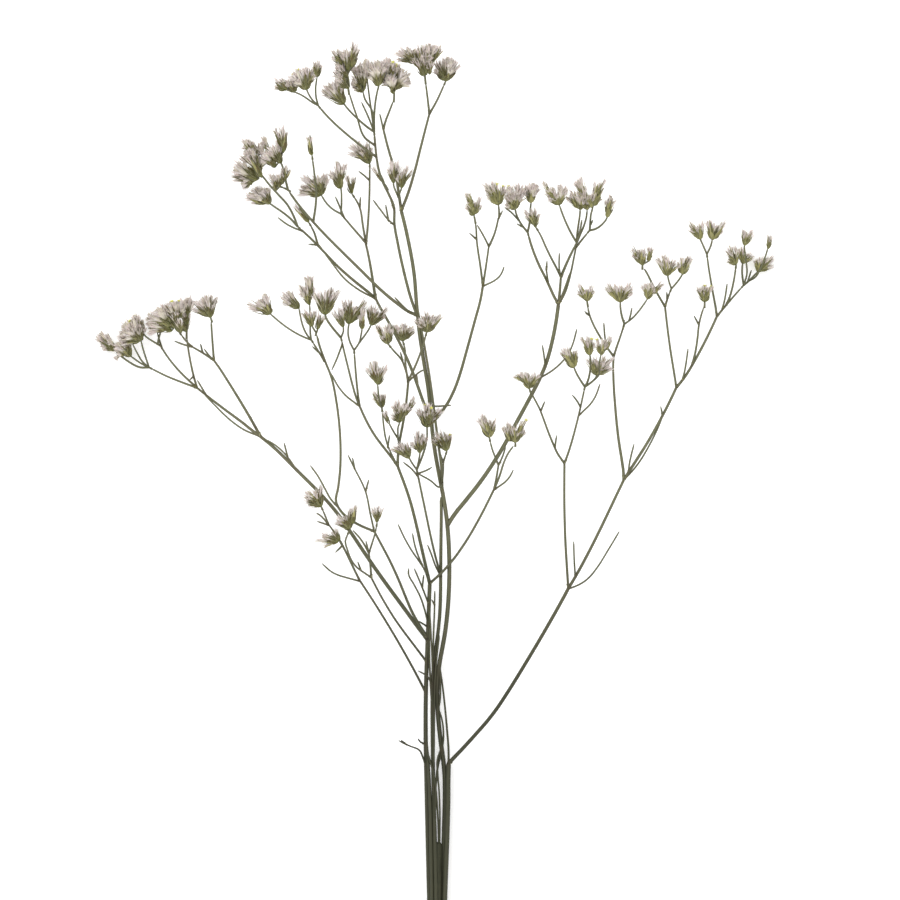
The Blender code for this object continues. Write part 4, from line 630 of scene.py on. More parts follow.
# %% Shoulder
def shoulder(main):
    upper = grow(main, (1.2, 0.8), (-7.2, 246.5), (-9.8, 247.2), (-14, 250.5), (-19.8, 254.8),
                 (-27, 262.5), (-34, 269), (-40, 275), (-44.5, 280, 24), (-50, 286), (-53, 290.6, 26.5))
    grow(upper, FINE, (-9.3, 247), (-12.3, 249.6, 26), (-15.2, 252.8, 28))
    twig = grow(upper, TWIG, (-44.5, 280), (-43.6, 285), (-43, 290), (-44, 297), (-44.6, 302.4, 33))
    head("shoulder_head_1", twig, ((-44.7, 304), (-46, 311), 1, WIDE))
    lower = grow(main, (1.2, 0.9), (-2.1, 208), (-4.1, 213, 17.5), (-5.2, 216), (-6.8, 220.6),
                 (-8.9, 226.7), (-11.5, 232.7), (-14.8, 239.3), (-18.4, 246), (-21.2, 250.4),
                 (-22.5, 253.4, 15.5))
    left = grow(lower, SIDE, (-22.5, 253.4), (-24, 254.4), (-30, 259), (-36, 264), (-42, 271),
                (-46, 274.8), (-49.6, 278, 14))
    grow(lower, FINE, (-22, 252.6), (-28, 255.5, 17.5), (-33, 259), (-38, 265.5), (-43, 272.5, 15.6))
    grow(left, FINE, (-43, 272), (-46.4, 272.3, 12))
    grow(left, FINE, (-48.4, 277), (-51.5, 278), (-54.5, 279.4), (-57.5, 282, 10))
    twig = grow(left, TWIG, (-43, 272), (-44, 276.5, 17), (-45.6, 279, 19))
    head("shoulder_head_2", twig, ((-46.8, 280), (-51.5, 286.6), 0))
    stalk = bunch("shoulder_head_3", left)
    florets(grow(stalk, TWIG, (-50.2, 278.6), (-52.8, 281.8), (-56, 284), (-59, 286, 12)),
            ((-61.8, 286.9), (-69.4, 289.9), -4, 1.0, 0.3), ((-61.8, 287.2), (-68.2, 291.4), -1, 1.0, 0.7),
            ((-61.6, 287.6), (-65.2, 291.8), 2), ((-60.2, 288), (-63.4, 292.6), 3, 1.0, 0.7),
            ((-60, 288), (-61, 292.6), 0, NARROW, 0.4))
    florets(grow(stalk, TWIG, (-50.2, 278.6), (-51.8, 283), (-54, 287), (-57, 289.6), (-60, 293, 19)),
            ((-63, 296), (-67.9, 304.4), 3, WIDE, 0.1), ((-63, 296.2), (-65.2, 303.8), 0, 1.0, 0.3),
            ((-64, 295.6), (-73, 302.4), -2, WIDE, 0.1), ((-64.4, 295.2), (-73.4, 299.6), 1, 1.0, 0.5),
            ((-65.6, 295), (-74.4, 296.6), -5, 1.0, 0.2), ((-65.8, 294.6), (-73.6, 295), -3, NARROW, 0.1),
            ((-67, 294.4), (-70, 291.8), -4, 0.5, 0.2), ((-64, 304), (-66.6, 309), -3, NARROW, 0.2),
            ((-65.8, 304.6), (-70.2, 310), 2, 1.0, 0.3), ((-65.4, 304.8), (-68, 309.6), 4, NARROW, 0.3),
            ((-60.4, 304.6), (-62.8, 311.2), 3, NARROW, 0.6))
    stalk = bunch("shoulder_head_4", upper)
    florets(grow(stalk, TWIG, (-53.4, 291.4), (-55, 297), (-55.5, 300.5, 28)),
            ((-55.4, 304.4), (-55.4, 314.6), 1), ((-55.2, 304.6), (-54, 312.6), 3, 1.0, 0.0),
            ((-56.4, 303.4), (-57.4, 309.8), -3, NARROW, 0.7), ((-57, 300), (-58.6, 307.4), 3, WIDE, 0.2),
            ((-57.4, 299.6), (-60.4, 307.4), 0, WIDE, 0.7), ((-57.8, 299.8), (-62.8, 303.8), 2, 1.0, 0.5),
            ((-58, 299.4), (-61.6, 305.6), -3, 1.0, 0.9))
    florets(stalk, ((-54.6, 294.4), (-53.9, 300.6), 7, NARROW, 0.0),
            ((-57.6, 291), (-58.8, 296.2), 5, NARROW, 0.5), ((-57.2, 292.6), (-60.2, 297), 6, NARROW, 0.5))
    rise = grow(lower, SIDE, (-22.5, 253.4), (-22.9, 257), (-23.5, 262), (-25, 270), (-26, 273.6, 19))
    fan = grow(rise, TWIG, (-26, 273.6), (-30, 277.5), (-34, 282.3, 21))
    stalk = bunch("shoulder_head_5", fan)
    florets(grow(stalk, FINE, (-34.6, 282.9), (-37.8, 284.5), (-40.6, 287.6, 19)),
            ((-43.4, 289.6), (-50.2, 291.2), -3), ((-42.4, 290.8), (-49, 296.2), 1),
            ((-41.8, 291.6), (-44.2, 297.2), 4), ((-41, 291.2), (-40.4, 297.4), -1))
    grow(fan, FINE, (-33.4, 281.6), (-35.4, 286.6), (-36.5, 289, 25))
    florets(grow(stalk, FINE, (-34.6, 282.9), (-34.2, 287), (-34.4, 291.4, 22)),
            ((-34.8, 293), (-38.6, 298.4), -2), ((-34.6, 293.2), (-35.9, 302), 2))
    twig = grow(rise, TWIG, (-25.6, 272), (-26.6, 278), (-28, 286.6), (-30, 289.4, 15))
    grow(twig, FINE, (-27.8, 285.6), (-27.6, 289.2, 17))
    head("shoulder_head_6", twig, ((-31, 291), (-32.6, 297.4), -1))
    last = grow(rise, TWIG, (-25.6, 272), (-24.7, 280), (-24.2, 290), (-24.2, 300, 21))
    grow(last, FINE, (-24.3, 295), (-26.3, 297), (-28.2, 298.4, 19))
    head("shoulder_head_7", last, ((-25, 302), (-31.6, 308.4), -4), ((-24.6, 302.4), (-29, 310), 1),
         ((-24.4, 302.4), (-25.4, 309), 4))


shoulder(main)
print(len(branches), "branches so far")

# %% [markdown]
# ## Left spray
#
# The longest side strand bends down under its own weight until its last heads touch the table.

# %% Left spray
def left_spray(outer):
    strand = grow(outer, (1.5, 1.15), (-3.4, 129.5), (-6, 132.6), (-10.6, 139), (-15, 145),
                  (-19.2, 150.5), (-25.4, 159.5), (-31.6, 168.8), (-36.4, 176, 8.0), (-41.6, 181.8),
                  (-50.1, 189.9), (-59.7, 199.9), (-64.5, 203.4, 8.5))
    beside = grow(strand, FINE, (-50.6, 190.6), (-52.9, 194, 9.9), (-55.2, 197.3), (-59.4, 200.6, 9.7),
                  (-62.5, 202, 8.6))
    grow(beside, FINE, (-54, 195.6), (-55.2, 200.6, 13.0))
    up = grow(strand, SIDE, (-64.5, 203.4), (-66, 207), (-70, 214), (-75, 222), (-79, 228.5),
              (-81, 231, 14))
    grow(up, FINE, (-65.6, 206), (-67.6, 210.6, 14))
    twig = grow(up, TWIG, (-81, 231), (-81, 237.5), (-81.3, 244.2, 20))
    head("left_head_1", twig, ((-81.6, 246), (-81.5, 254.2), 2, NARROW), ((-82, 246.2), (-82.6, 253), 4),
         ((-82.2, 246.4), (-84.2, 254.2), 0, 1.0, 0.9), ((-82.6, 246.4), (-86, 252.4), 2, NARROW, 0.6),
         ((-82.6, 246), (-88, 251.8), -2, NARROW), ((-81.2, 248.4), (-79.4, 252.6), 1, 0.5, 0.6))
    grow(up, FINE, (-80.6, 230.6), (-82.6, 232.2), (-83.9, 234.4, 17))
    bow = grow(up, TWIG, (-81, 231), (-85, 233.5), (-89, 235.6, 14))
    grow(bow, FINE, (-88.2, 235.2), (-92, 236), (-94.7, 237.3, 13))
    grow(bow, FINE, (-84.6, 233.2), (-85.2, 236.2, 18))
    twig = grow(bow, FINE, (-89, 235.6), (-90.8, 237.2), (-92.4, 239.8, 16))
    head("left_head_2", twig, ((-95.4, 241), (-104.4, 243.2), -3, 1.0, 0.7),
         ((-93, 240.6), (-97.4, 246.8), -2, WIDE, 0.0), ((-93, 240.4), (-95, 247), 2, 1.0, 0.0),
         ((-92, 240.2), (-93.4, 245.8), 4, NARROW, 0.0), ((-96, 242.6), (-103.4, 246.4), -1, 1.0, 1.0),
         ((-96, 243.6), (-101.6, 249.2), 1, WIDE, 1.0), ((-95.6, 244.6), (-99, 250.6), -2, 1.0, 0.8),
         ((-94.6, 245.6), (-98.4, 251), 3, NARROW, 0.1), ((-94, 245.6), (-95.6, 252.2), 4, 1.0, 0.8),
         ((-92.8, 245.4), (-93.2, 252.4), 1, 1.0, 1.0))
    reach = grow(strand, SIDE, (-64.5, 203.4), (-66.6, 204.6), (-70, 208), (-77, 212.5), (-83, 217.5),
                 (-87.5, 221, 6.5))
    grow(strand, FINE, (-63.6, 202.8), (-70, 205.2, 7.0), (-75, 208.6), (-80, 213.8, 8.2),
         (-84.4, 218.4, 7.4))
    grow(reach, FINE, (-83.6, 218), (-86.6, 223.2, 10))
    twig = grow(reach, TWIG, (-87.5, 221), (-88.2, 225), (-89, 229), (-90, 234.5), (-90.4, 238.4, 10))
    grow(twig, FINE, (-88.4, 224.6), (-89.3, 223.3, 11))
    head("left_head_3", twig, ((-90.6, 240.4), (-93, 245.6), 2, NARROW, 0.0),
         ((-90.5, 240.6), (-91.4, 248), -1, 1.0, 0.0), ((-90.4, 244.6), (-91.6, 253.4), 0, 1.0, 0.9),
         ((-90, 245.6), (-89.8, 252.6), 2, NARROW, 0.0), ((-90.2, 246), (-89.4, 254), 3, NARROW, 0.7),
         ((-89.9, 248), (-88.4, 252.2), 0, NARROW, 0.6))
    far = grow(reach, TWIG, (-87.5, 221), (-92, 222.4), (-98, 224.5), (-103.5, 227.5, 5.0))
    twig = grow(reach, TWIG, (-87.5, 221), (-92, 225), (-94.5, 228), (-98, 232), (-100.4, 236.4, 8.5))
    grow(twig, FINE, (-99.4, 234.6), (-101.2, 240.4, 7.0))
    grow(twig, FINE, (-100, 236), (-103, 237.5), (-105.6, 238.9), (-106.3, 240.4, 8.0))
    head("left_head_4", twig, ((-99.4, 240), (-104.8, 242.8), -3), ((-99.6, 241.4), (-105, 244.8), 0,
         1.0, 0.9), ((-99.4, 243), (-104.2, 247.8), 2, 1.0, 0.5), ((-99.6, 243.4), (-101.8, 249.4), -1,
         1.0, 1.0))
    stalk = bunch("left_head_5", far)
    florets(grow(stalk, FINE, (-104.3, 227.9), (-105.6, 232), (-106.6, 235.4, 8.5)),
            ((-107.5, 236.8), (-116, 239.6), 0, 1.0, 0.1), ((-107.8, 237), (-114.8, 241.2), 2, WIDE, 0.1),
            ((-107.8, 238.4), (-113.8, 244.2), 4, 1.0, 1.0),
            ((-107.6, 238.4), (-111.6, 245.6), 1, 1.0, 1.0),
            ((-107.2, 240.6), (-109.8, 247), -1, 1.0, 0.8),
            ((-107.3, 237.8), (-109.6, 243.2), -3, WIDE, 0.0),
            ((-106.8, 237), (-107.4, 243), 3, NARROW, 0.0),
            ((-106.6, 240.4), (-108.4, 247.8), 1, NARROW, 0.2),
            ((-106.4, 240.6), (-106.5, 245.6), -2, NARROW, 0.0))
    grow(stalk, FINE, (-104.3, 227.9), (-106.8, 229.8, 7.0), (-108.4, 233, 8.2), (-110, 236.2, 9.0))
    florets(grow(stalk, FINE, (-104.3, 227.9), (-107, 229), (-109.6, 231, 4.4)),
            ((-111, 232.3), (-117, 235.6), 1.5, 1.0, 0.7), ((-111.2, 232.6), (-116, 237.4), 3, 1.0, 0.9),
            ((-111, 232.8), (-114.4, 238.6), 2, 1.0, 0.3), ((-110.8, 232.4), (-112.6, 238), 0, NARROW, 0.6),
            ((-114.4, 232.8), (-117.2, 230.9), 0, 0.5, 0.6))
    florets(grow(stalk, TWIG, (-104.3, 227.9), (-107.5, 227.6), (-111.5, 229.6), (-114.6, 232, 2.6)),
            ((-117.4, 234.6), (-124, 239.8), 0.4, 1.0, 0.1), ((-117.6, 235), (-122.4, 240.8), 2, WIDE, 0.1),
            ((-117.6, 235.6), (-120.2, 240.4), 0, 1.0, 0.2),
            ((-117, 233.2), (-122.2, 236), -1.2, NARROW, 0.1),
            ((-117.4, 235.4), (-119, 238.4), 3, NARROW, 0.6))


left_spray(outer)
print(len(branches), "branches so far")

# %% [markdown]
# ## Low left sprays
#
# Short side strands low on the left carry small half-grown heads and many bare, dead twigs.

# %% Low left sprays
def low_left(outer):
    inner = grow(outer, SIDE, (-3.4, 130), (-7.8, 136.8, 10.0), (-9.2, 139.8), (-11.6, 145.3),
                 (-14, 151.9), (-17.1, 158.4), (-19.9, 163.6), (-23, 169.4, 18))
    dead = grow(inner, FINE, (-23, 169.4), (-24, 174.5), (-25.7, 184), (-27.4, 187), (-29.2, 190.4),
                (-31.9, 196.1, 27))
    grow(dead, FINE, (-25.6, 183.4), (-24.5, 187.3, 26))
    grow(dead, FINE, (-29.6, 191.2), (-30.3, 195.2, 28))
    outside = grow(outer, (0.9, 0.8), (-4.1, 110.2), (-8, 118), (-14, 128.8), (-19.9, 138.4),
                   (-23.7, 144.6), (-28.5, 151.8, 12.5))
    grow(outside, FINE, (-27.6, 150.6), (-32.3, 151.9), (-35, 152.4), (-38.1, 153.6), (-41.6, 157, 9))
    twig = grow(outside, TWIG, (-28.5, 151.8), (-30.9, 156.7), (-33, 161.6), (-34.6, 164.2, 13.5))
    grow(twig, FINE, (-34.3, 163.6), (-36.7, 161, 12))
    head("low_head_1", twig, ((-36.2, 165.2), (-44.4, 165.3), -3, NARROW),
         ((-35.8, 165.6), (-42, 167.8), 1, NARROW), ((-35.2, 165.8), (-36.8, 169.8), -2, NARROW))
    dead = grow(outside, FINE, (-28.5, 151.8), (-31.6, 158.6, 10.5), (-35.6, 166.6, 9.4), (-38.6, 170.1),
                (-39.7, 171.9, 10.4))
    grow(dead, FINE, (-39, 170.8), (-43.3, 172.2, 9))
    twig = grow(dead, FINE, (-39.7, 171.9), (-40.4, 174.4), (-41.4, 176.6, 12.5))
    head("low_head_2", twig, ((-42.2, 178.2), (-47.2, 183.8), 1),
         ((-43, 177.8), (-48.2, 180.4), -2, NARROW), ((-42, 179), (-42.3, 185.4), 3))
    grow(dead, FINE, (-39.4, 171.6), (-42.4, 174.8), (-43.6, 175.2, 8.4))
    other = grow(outer, (0.85, 0.75), (-3.9, 121.3), (-8, 127), (-12, 132.4), (-15.4, 136.8),
                 (-19.9, 144.6, 14.6), (-24, 152.7, 20))
    side = grow(other, FINE, (-24, 152.7), (-26.1, 153.8), (-28.8, 155.4), (-30.5, 157.2), (-32.4, 162.4),
                (-33.3, 165, 18.6), (-32, 168, 19.6))
    grow(side, FINE, (-27.4, 154.6), (-28.5, 157.8, 22))
    head("low_head_3", side, ((-31.6, 170), (-36.9, 172.4), -1), ((-31, 170.6), (-35.8, 174.8), 2),
         ((-30.3, 171.2), (-29.3, 178.6), 3))
    rise = grow(other, TWIG, (-24, 152.7), (-23.8, 156.4), (-24.6, 161.6, 23.4))
    grow(rise, FINE, (-24.4, 160.6), (-25.5, 165.2, 26))
    grow(rise, FINE, (-24.6, 161.6), (-26.1, 164.3), (-28.1, 167), (-30.2, 169.1, 25.4))
    twig = grow(rise, FINE, (-24.6, 161.6), (-23.2, 165), (-22.1, 168), (-21.7, 170.8, 25))
    head("low_head_4", twig, ((-21.8, 172.2), (-23.1, 177.8), -1, NARROW),
         ((-21.5, 172.2), (-21.1, 178.2), 2, NARROW))
    return inner


inner = low_left(outer)
print(len(branches), "branches so far")

# %% [markdown]
# ## Centre
#
# These sprays lie on top of the main strand, so they stand highest over the table.

# %% Centre
def centre(outer, second, main, beside):
    rising = grow(outer, (1.25, 1.0), (-2.6, 150.6), (-3.7, 154.3), (-4.7, 158.8), (-6.1, 165),
                  (-7.8, 172.5), (-9.5, 179.8), (-11.6, 185.6), (-13.7, 191), (-14.4, 193, 26))
    dead = grow(outer, FINE, (-2.7, 149), (-4.6, 155.4, 15), (-6.8, 158.4), (-9.6, 162.2), (-12, 166.7),
                (-14, 171.3, 24))
    grow(dead, FINE, (-5, 156.4), (-7, 160.2, 19), (-8.2, 163.9), (-8.8, 168, 24))
    up = grow(rising, (1.0, 0.85), (-14.4, 193), (-14, 197), (-13.6, 200.5), (-12.2, 207.5), (-11.2, 212),
              (-10.8, 217), (-10.1, 223.7, 41))
    left = grow(up, TWIG, (-10.1, 223.7), (-11.2, 227), (-12.3, 230.3), (-15.4, 233.2),
                (-16.6, 234.8, 47))
    grow(left, FINE, (-12.1, 230), (-13, 232.8, 49))
    head("centre_head_1", left, ((-17.4, 236), (-21.8, 242.4), -3), ((-17.2, 236.4), (-18.5, 242.4), 2),
         ((-16.8, 236.2), (-16.1, 241.4), 5, NARROW))
    right = grow(up, TWIG, (-10.1, 223.7), (-8.9, 225.3), (-7.4, 228.6), (-5.9, 232.2), (-4.4, 237.2),
                 (-3.9, 239, 46))
    head("centre_head_2", right, ((-4.8, 240.2), (-8.4, 244.8), -2, NARROW),
         ((-3.9, 240.4), (-5, 245.8), 3), ((-3.5, 240.2), (-1, 246.4), 5),
         ((-3.2, 240.2), (2.4, 246.6), -2))
    fork = grow(up, FINE, (-10.2, 222.6), (-7.4, 224.8, 45), (-6, 226.1), (-4.6, 226.6, 48))
    grow(fork, FINE, (-7.4, 224.8), (-6.7, 222.6, 46), (-6.8, 220.6, 47))
    lower = grow(up, TWIG, (-10.4, 222), (-11.4, 229.4, 33), (-11.2, 234), (-11.9, 236, 31))
    head("centre_head_3", lower, ((-12.2, 237.6), (-15.4, 243.2), -2),
         ((-11.9, 237.6), (-12.3, 243.8), 3), ((-11.4, 237.4), (-8.8, 243), -3))
    cross = grow(rising, FINE, (-14.4, 193), (-16, 195.8), (-17.8, 199.3), (-18.6, 202.8), (-19.1, 206.1),
                 (-19.4, 210), (-19.6, 212, 33))
    grow(cross, FINE, (-17.7, 199), (-17, 203.2, 33))
    stalk = bunch("centre_head_4", cross)
    florets(stalk, ((-20.4, 214.2), (-23, 219.2), -2), ((-19.6, 213.8), (-18.4, 218.2), 1, NARROW))
    florets(grow(stalk, FINE, (-19.7, 212.8), (-20.8, 216, 37), (-21, 219.4, 39)),
            ((-21.8, 222), (-23.8, 230.2), -1), ((-20.7, 222.6), (-18, 228.4), 3))
    twig = grow(up, FINE, (-13.5, 200), (-13.9, 201.8, 34.6))
    stalk = bunch("centre_head_5", twig)
    florets(grow(stalk, FINE, (-14.1, 202.6), (-15.6, 204.6, 38), (-16.6, 206.6, 40)),
            ((-17.4, 208.2), (-19.4, 212), 2, NARROW))
    florets(grow(stalk, FINE, (-14.1, 202.6), (-14, 204.4, 39), (-13.9, 206.2, 42)),
            ((-14.2, 207.6), (-16.2, 210.8), 3, NARROW), ((-14, 208), (-14, 216), 1),
            ((-13, 208.6), (-11.2, 215.4), 4), ((-10.3, 211.6), (-8.1, 217), 5, NARROW))
    outer_front = grow(second, (0.85, 0.75), (1.2, 153), (-0.4, 158.4, 12.5), (-2.3, 166.7), (-4, 175.3),
                       (-5.8, 183.9), (-7.1, 190.2, 30))
    grow(second, FINE, (1.3, 152.6), (-0.8, 156.2, 13), (-2, 160.8), (-3.4, 163.8, 19))
    grow(beside, FINE, (1.9, 186), (0.6, 184.4, 20), (-2, 187, 25), (-6.6, 189.4, 29))
    grow(outer_front, FINE, (-6.7, 188.4), (-8.8, 191.2, 31), (-12, 193.6, 35))
    stalk = bunch("centre_head_6", outer_front)
    florets(grow(stalk, FINE, (-7.3, 191), (-8.6, 192.8), (-9.6, 194.4, 34)),
            ((-10, 195.8), (-13.9, 199.8), 2), ((-9.9, 195.8), (-11, 201.2), 5),
            ((-10.6, 196.2), (-16.4, 199.6), -2, NARROW))
    florets(grow(stalk, TWIG, (-7.3, 191), (-5.2, 195.4), (-3.8, 200.1), (-3.3, 203.4),
            (-3.6, 205.6, 36)), ((-4.2, 207), (-7.4, 212.8), -1), ((-3.7, 207.4), (-4.4, 215), 3, WIDE),
            ((-2.8, 207.2), (1.3, 213.2), 0), ((-3, 207.4), (-1.9, 213.6), 6))
    florets(grow(stalk, FINE, (-7.3, 191), (-6.5, 194, 33), (-6.1, 196.6, 36)),
            ((-6.1, 198.2), (-7.1, 205.6), 2), ((-6.6, 197.8), (-9.1, 201), 5, NARROW),
            ((-5.2, 198), (-3.6, 202.6), 5, NARROW))
    grow(outer_front, FINE, (-7.1, 189.6), (-3.6, 190.6, 31), (-1.8, 191.8, 33))
    stalk = grow(beside, FINE, (1.9, 186.6), (2.4, 190.4, 20), (2.3, 194.4, 25))
    grow(stalk, FINE, (2.3, 193.4), (0.9, 197, 27), (0.2, 200, 29))
    twig = grow(stalk, FINE, (2.3, 194.4), (3.3, 196.8, 27))
    head("centre_head_7", twig, ((2.6, 198.2), (-0.8, 203.8), -1), ((3.1, 198.4), (1.9, 205.4), 3, WIDE),
         ((3.8, 198.2), (5, 204), 0))
    return rising


rising = centre(outer, second, main, beside)
print(len(branches), "branches so far")

# %% [markdown]
# ## Inner left spray
#
# One strand from the low sprays and one off the centre share the space left of the middle.

# %% Inner left spray
def inner_left(inner, rising):
    strand = grow(inner, (0.95, 0.8), (-23, 169.4), (-28.1, 170.8), (-31.6, 172.9), (-35, 176, 19),
                  (-36.6, 179), (-35.4, 184.6), (-34.8, 190.5), (-34.6, 197), (-34.8, 205), (-36, 215.3),
                  (-37.8, 224.5), (-40.6, 230.2), (-42.7, 236.5), (-43.2, 239.2, 22))
    grow(strand, FINE, (-36.2, 177.6), (-38.5, 180.1), (-40.2, 183.8), (-42.9, 189.1), (-45.7, 192.4, 15))
    stalk = bunch("inner_head_1", strand)
    florets(grow(stalk, FINE, (-43.4, 240), (-44.6, 241.8, 23)), ((-45.4, 243.4), (-48.1, 248.2), -2),
            ((-45, 243.4), (-45.2, 248.2), 2, NARROW))
    florets(stalk, ((-42.3, 242.2), (-42.4, 247.2), -2))
    low = grow(strand, TWIG, (-40.4, 229.9), (-42, 232.5), (-43.4, 234.6), (-44.9, 237, 17))
    grow(strand, FINE, (-41.2, 231.8), (-44.8, 235.2, 25))
    stalk = bunch("inner_head_2", low)
    florets(grow(stalk, FINE, (-45.4, 237.6), (-48.2, 238.7), (-50.7, 240), (-53.3, 241.6),
            (-55.8, 243.3), (-58.9, 246, 12)), ((-60.3, 248), (-62.4, 254.8), 2, WIDE),
            ((-61.6, 247.6), (-69, 250.6), -3))
    florets(grow(stalk, FINE, (-45.4, 237.6), (-46.8, 239), (-48.2, 241.8), (-49, 244.6),
            (-49.4, 247, 15)), ((-50.2, 249.8), (-56.5, 254.2), -2), ((-49.7, 250.4), (-53.4, 255.4), 2))
    florets(grow(stalk, FINE, (-45.4, 237.6), (-45.8, 239.4), (-45.7, 243), (-45.7, 247.4, 15.5)),
            ((-46.2, 249.5), (-48, 257.2), -1), ((-46.4, 251.6), (-49.6, 257.6), -4, NARROW),
            ((-45.5, 253), (-45.8, 261), 1))
    front = grow(rising, (0.96, 0.85), (-14.4, 193), (-15.9, 194.9), (-18.1, 197.6), (-20.3, 200.4),
                 (-22.8, 203.7), (-25, 207.5), (-28.1, 214.5, 31))
    grow(front, FINE, (-28, 214), (-30.1, 215.4), (-32.9, 217.4), (-35.3, 220.2), (-38, 225.5, 34))
    left = grow(front, TWIG, (-28.1, 214.5), (-29.2, 217), (-30.2, 221), (-31.7, 227), (-33, 232),
                (-34.2, 237.4, 32))
    grow(left, FINE, (-33.8, 236), (-34.8, 233.5, 34), (-35.8, 230.4), (-37.6, 226.6, 37))
    stalk = bunch("inner_head_3", left)
    florets(grow(stalk, (0.9, 0.8), (-34.6, 238.2), (-36, 240), (-38.4, 243), (-40, 245.4, 33)),
            ((-41, 247.2), (-44.4, 254.8), -2), ((-40.2, 247.4), (-39.2, 256.2), 3),
            ((-39.4, 248), (-34.6, 256.2), 0))
    florets(grow(stalk, FINE, (-34.6, 238.2), (-33.3, 241.4, 36)),
            ((-34.6, 242.8), (-37.4, 248), 1, NARROW), ((-33.2, 243), (-34.4, 248.2), 4, NARROW))
    right = grow(front, TWIG, (-28.1, 214.5), (-28.7, 220), (-29.2, 226.5), (-29.7, 233, 27))
    stalk = bunch("inner_head_4", right)
    florets(grow(stalk, FINE, (-29.8, 233.8), (-31.4, 236.4), (-32.2, 239.8), (-31.8, 242.4, 27.4)),
            ((-31.7, 244.2), (-33.4, 251.8), -3), ((-31.4, 244.2), (-30.8, 252.4), 1),
            ((-30.8, 244.4), (-24.8, 252.4), -1))
    fork = grow(stalk, FINE, (-29.8, 233.8), (-27.9, 236.2, 27), (-27.2, 239.3), (-26.9, 240.9, 31))
    florets(fork, ((-26.9, 242.2), (-26.5, 249), 3))
    florets(grow(fork, FINE, (-27.8, 236.6), (-26.7, 238.2, 26), (-25, 240.4), (-24.2, 241.8, 25)),
            ((-24, 243.4), (-24.2, 249.8), -3, NARROW), ((-23.2, 243.8), (-21.5, 249.8), 2),
            ((-22.8, 244.2), (-17.8, 249), -2))


inner_left(inner, rising)
print(len(branches), "branches so far")

# %% [markdown]
# ## Upper right sprays
#
# A thin bowed strand and a stout one go to the upper right. The stout one forks like a hand.

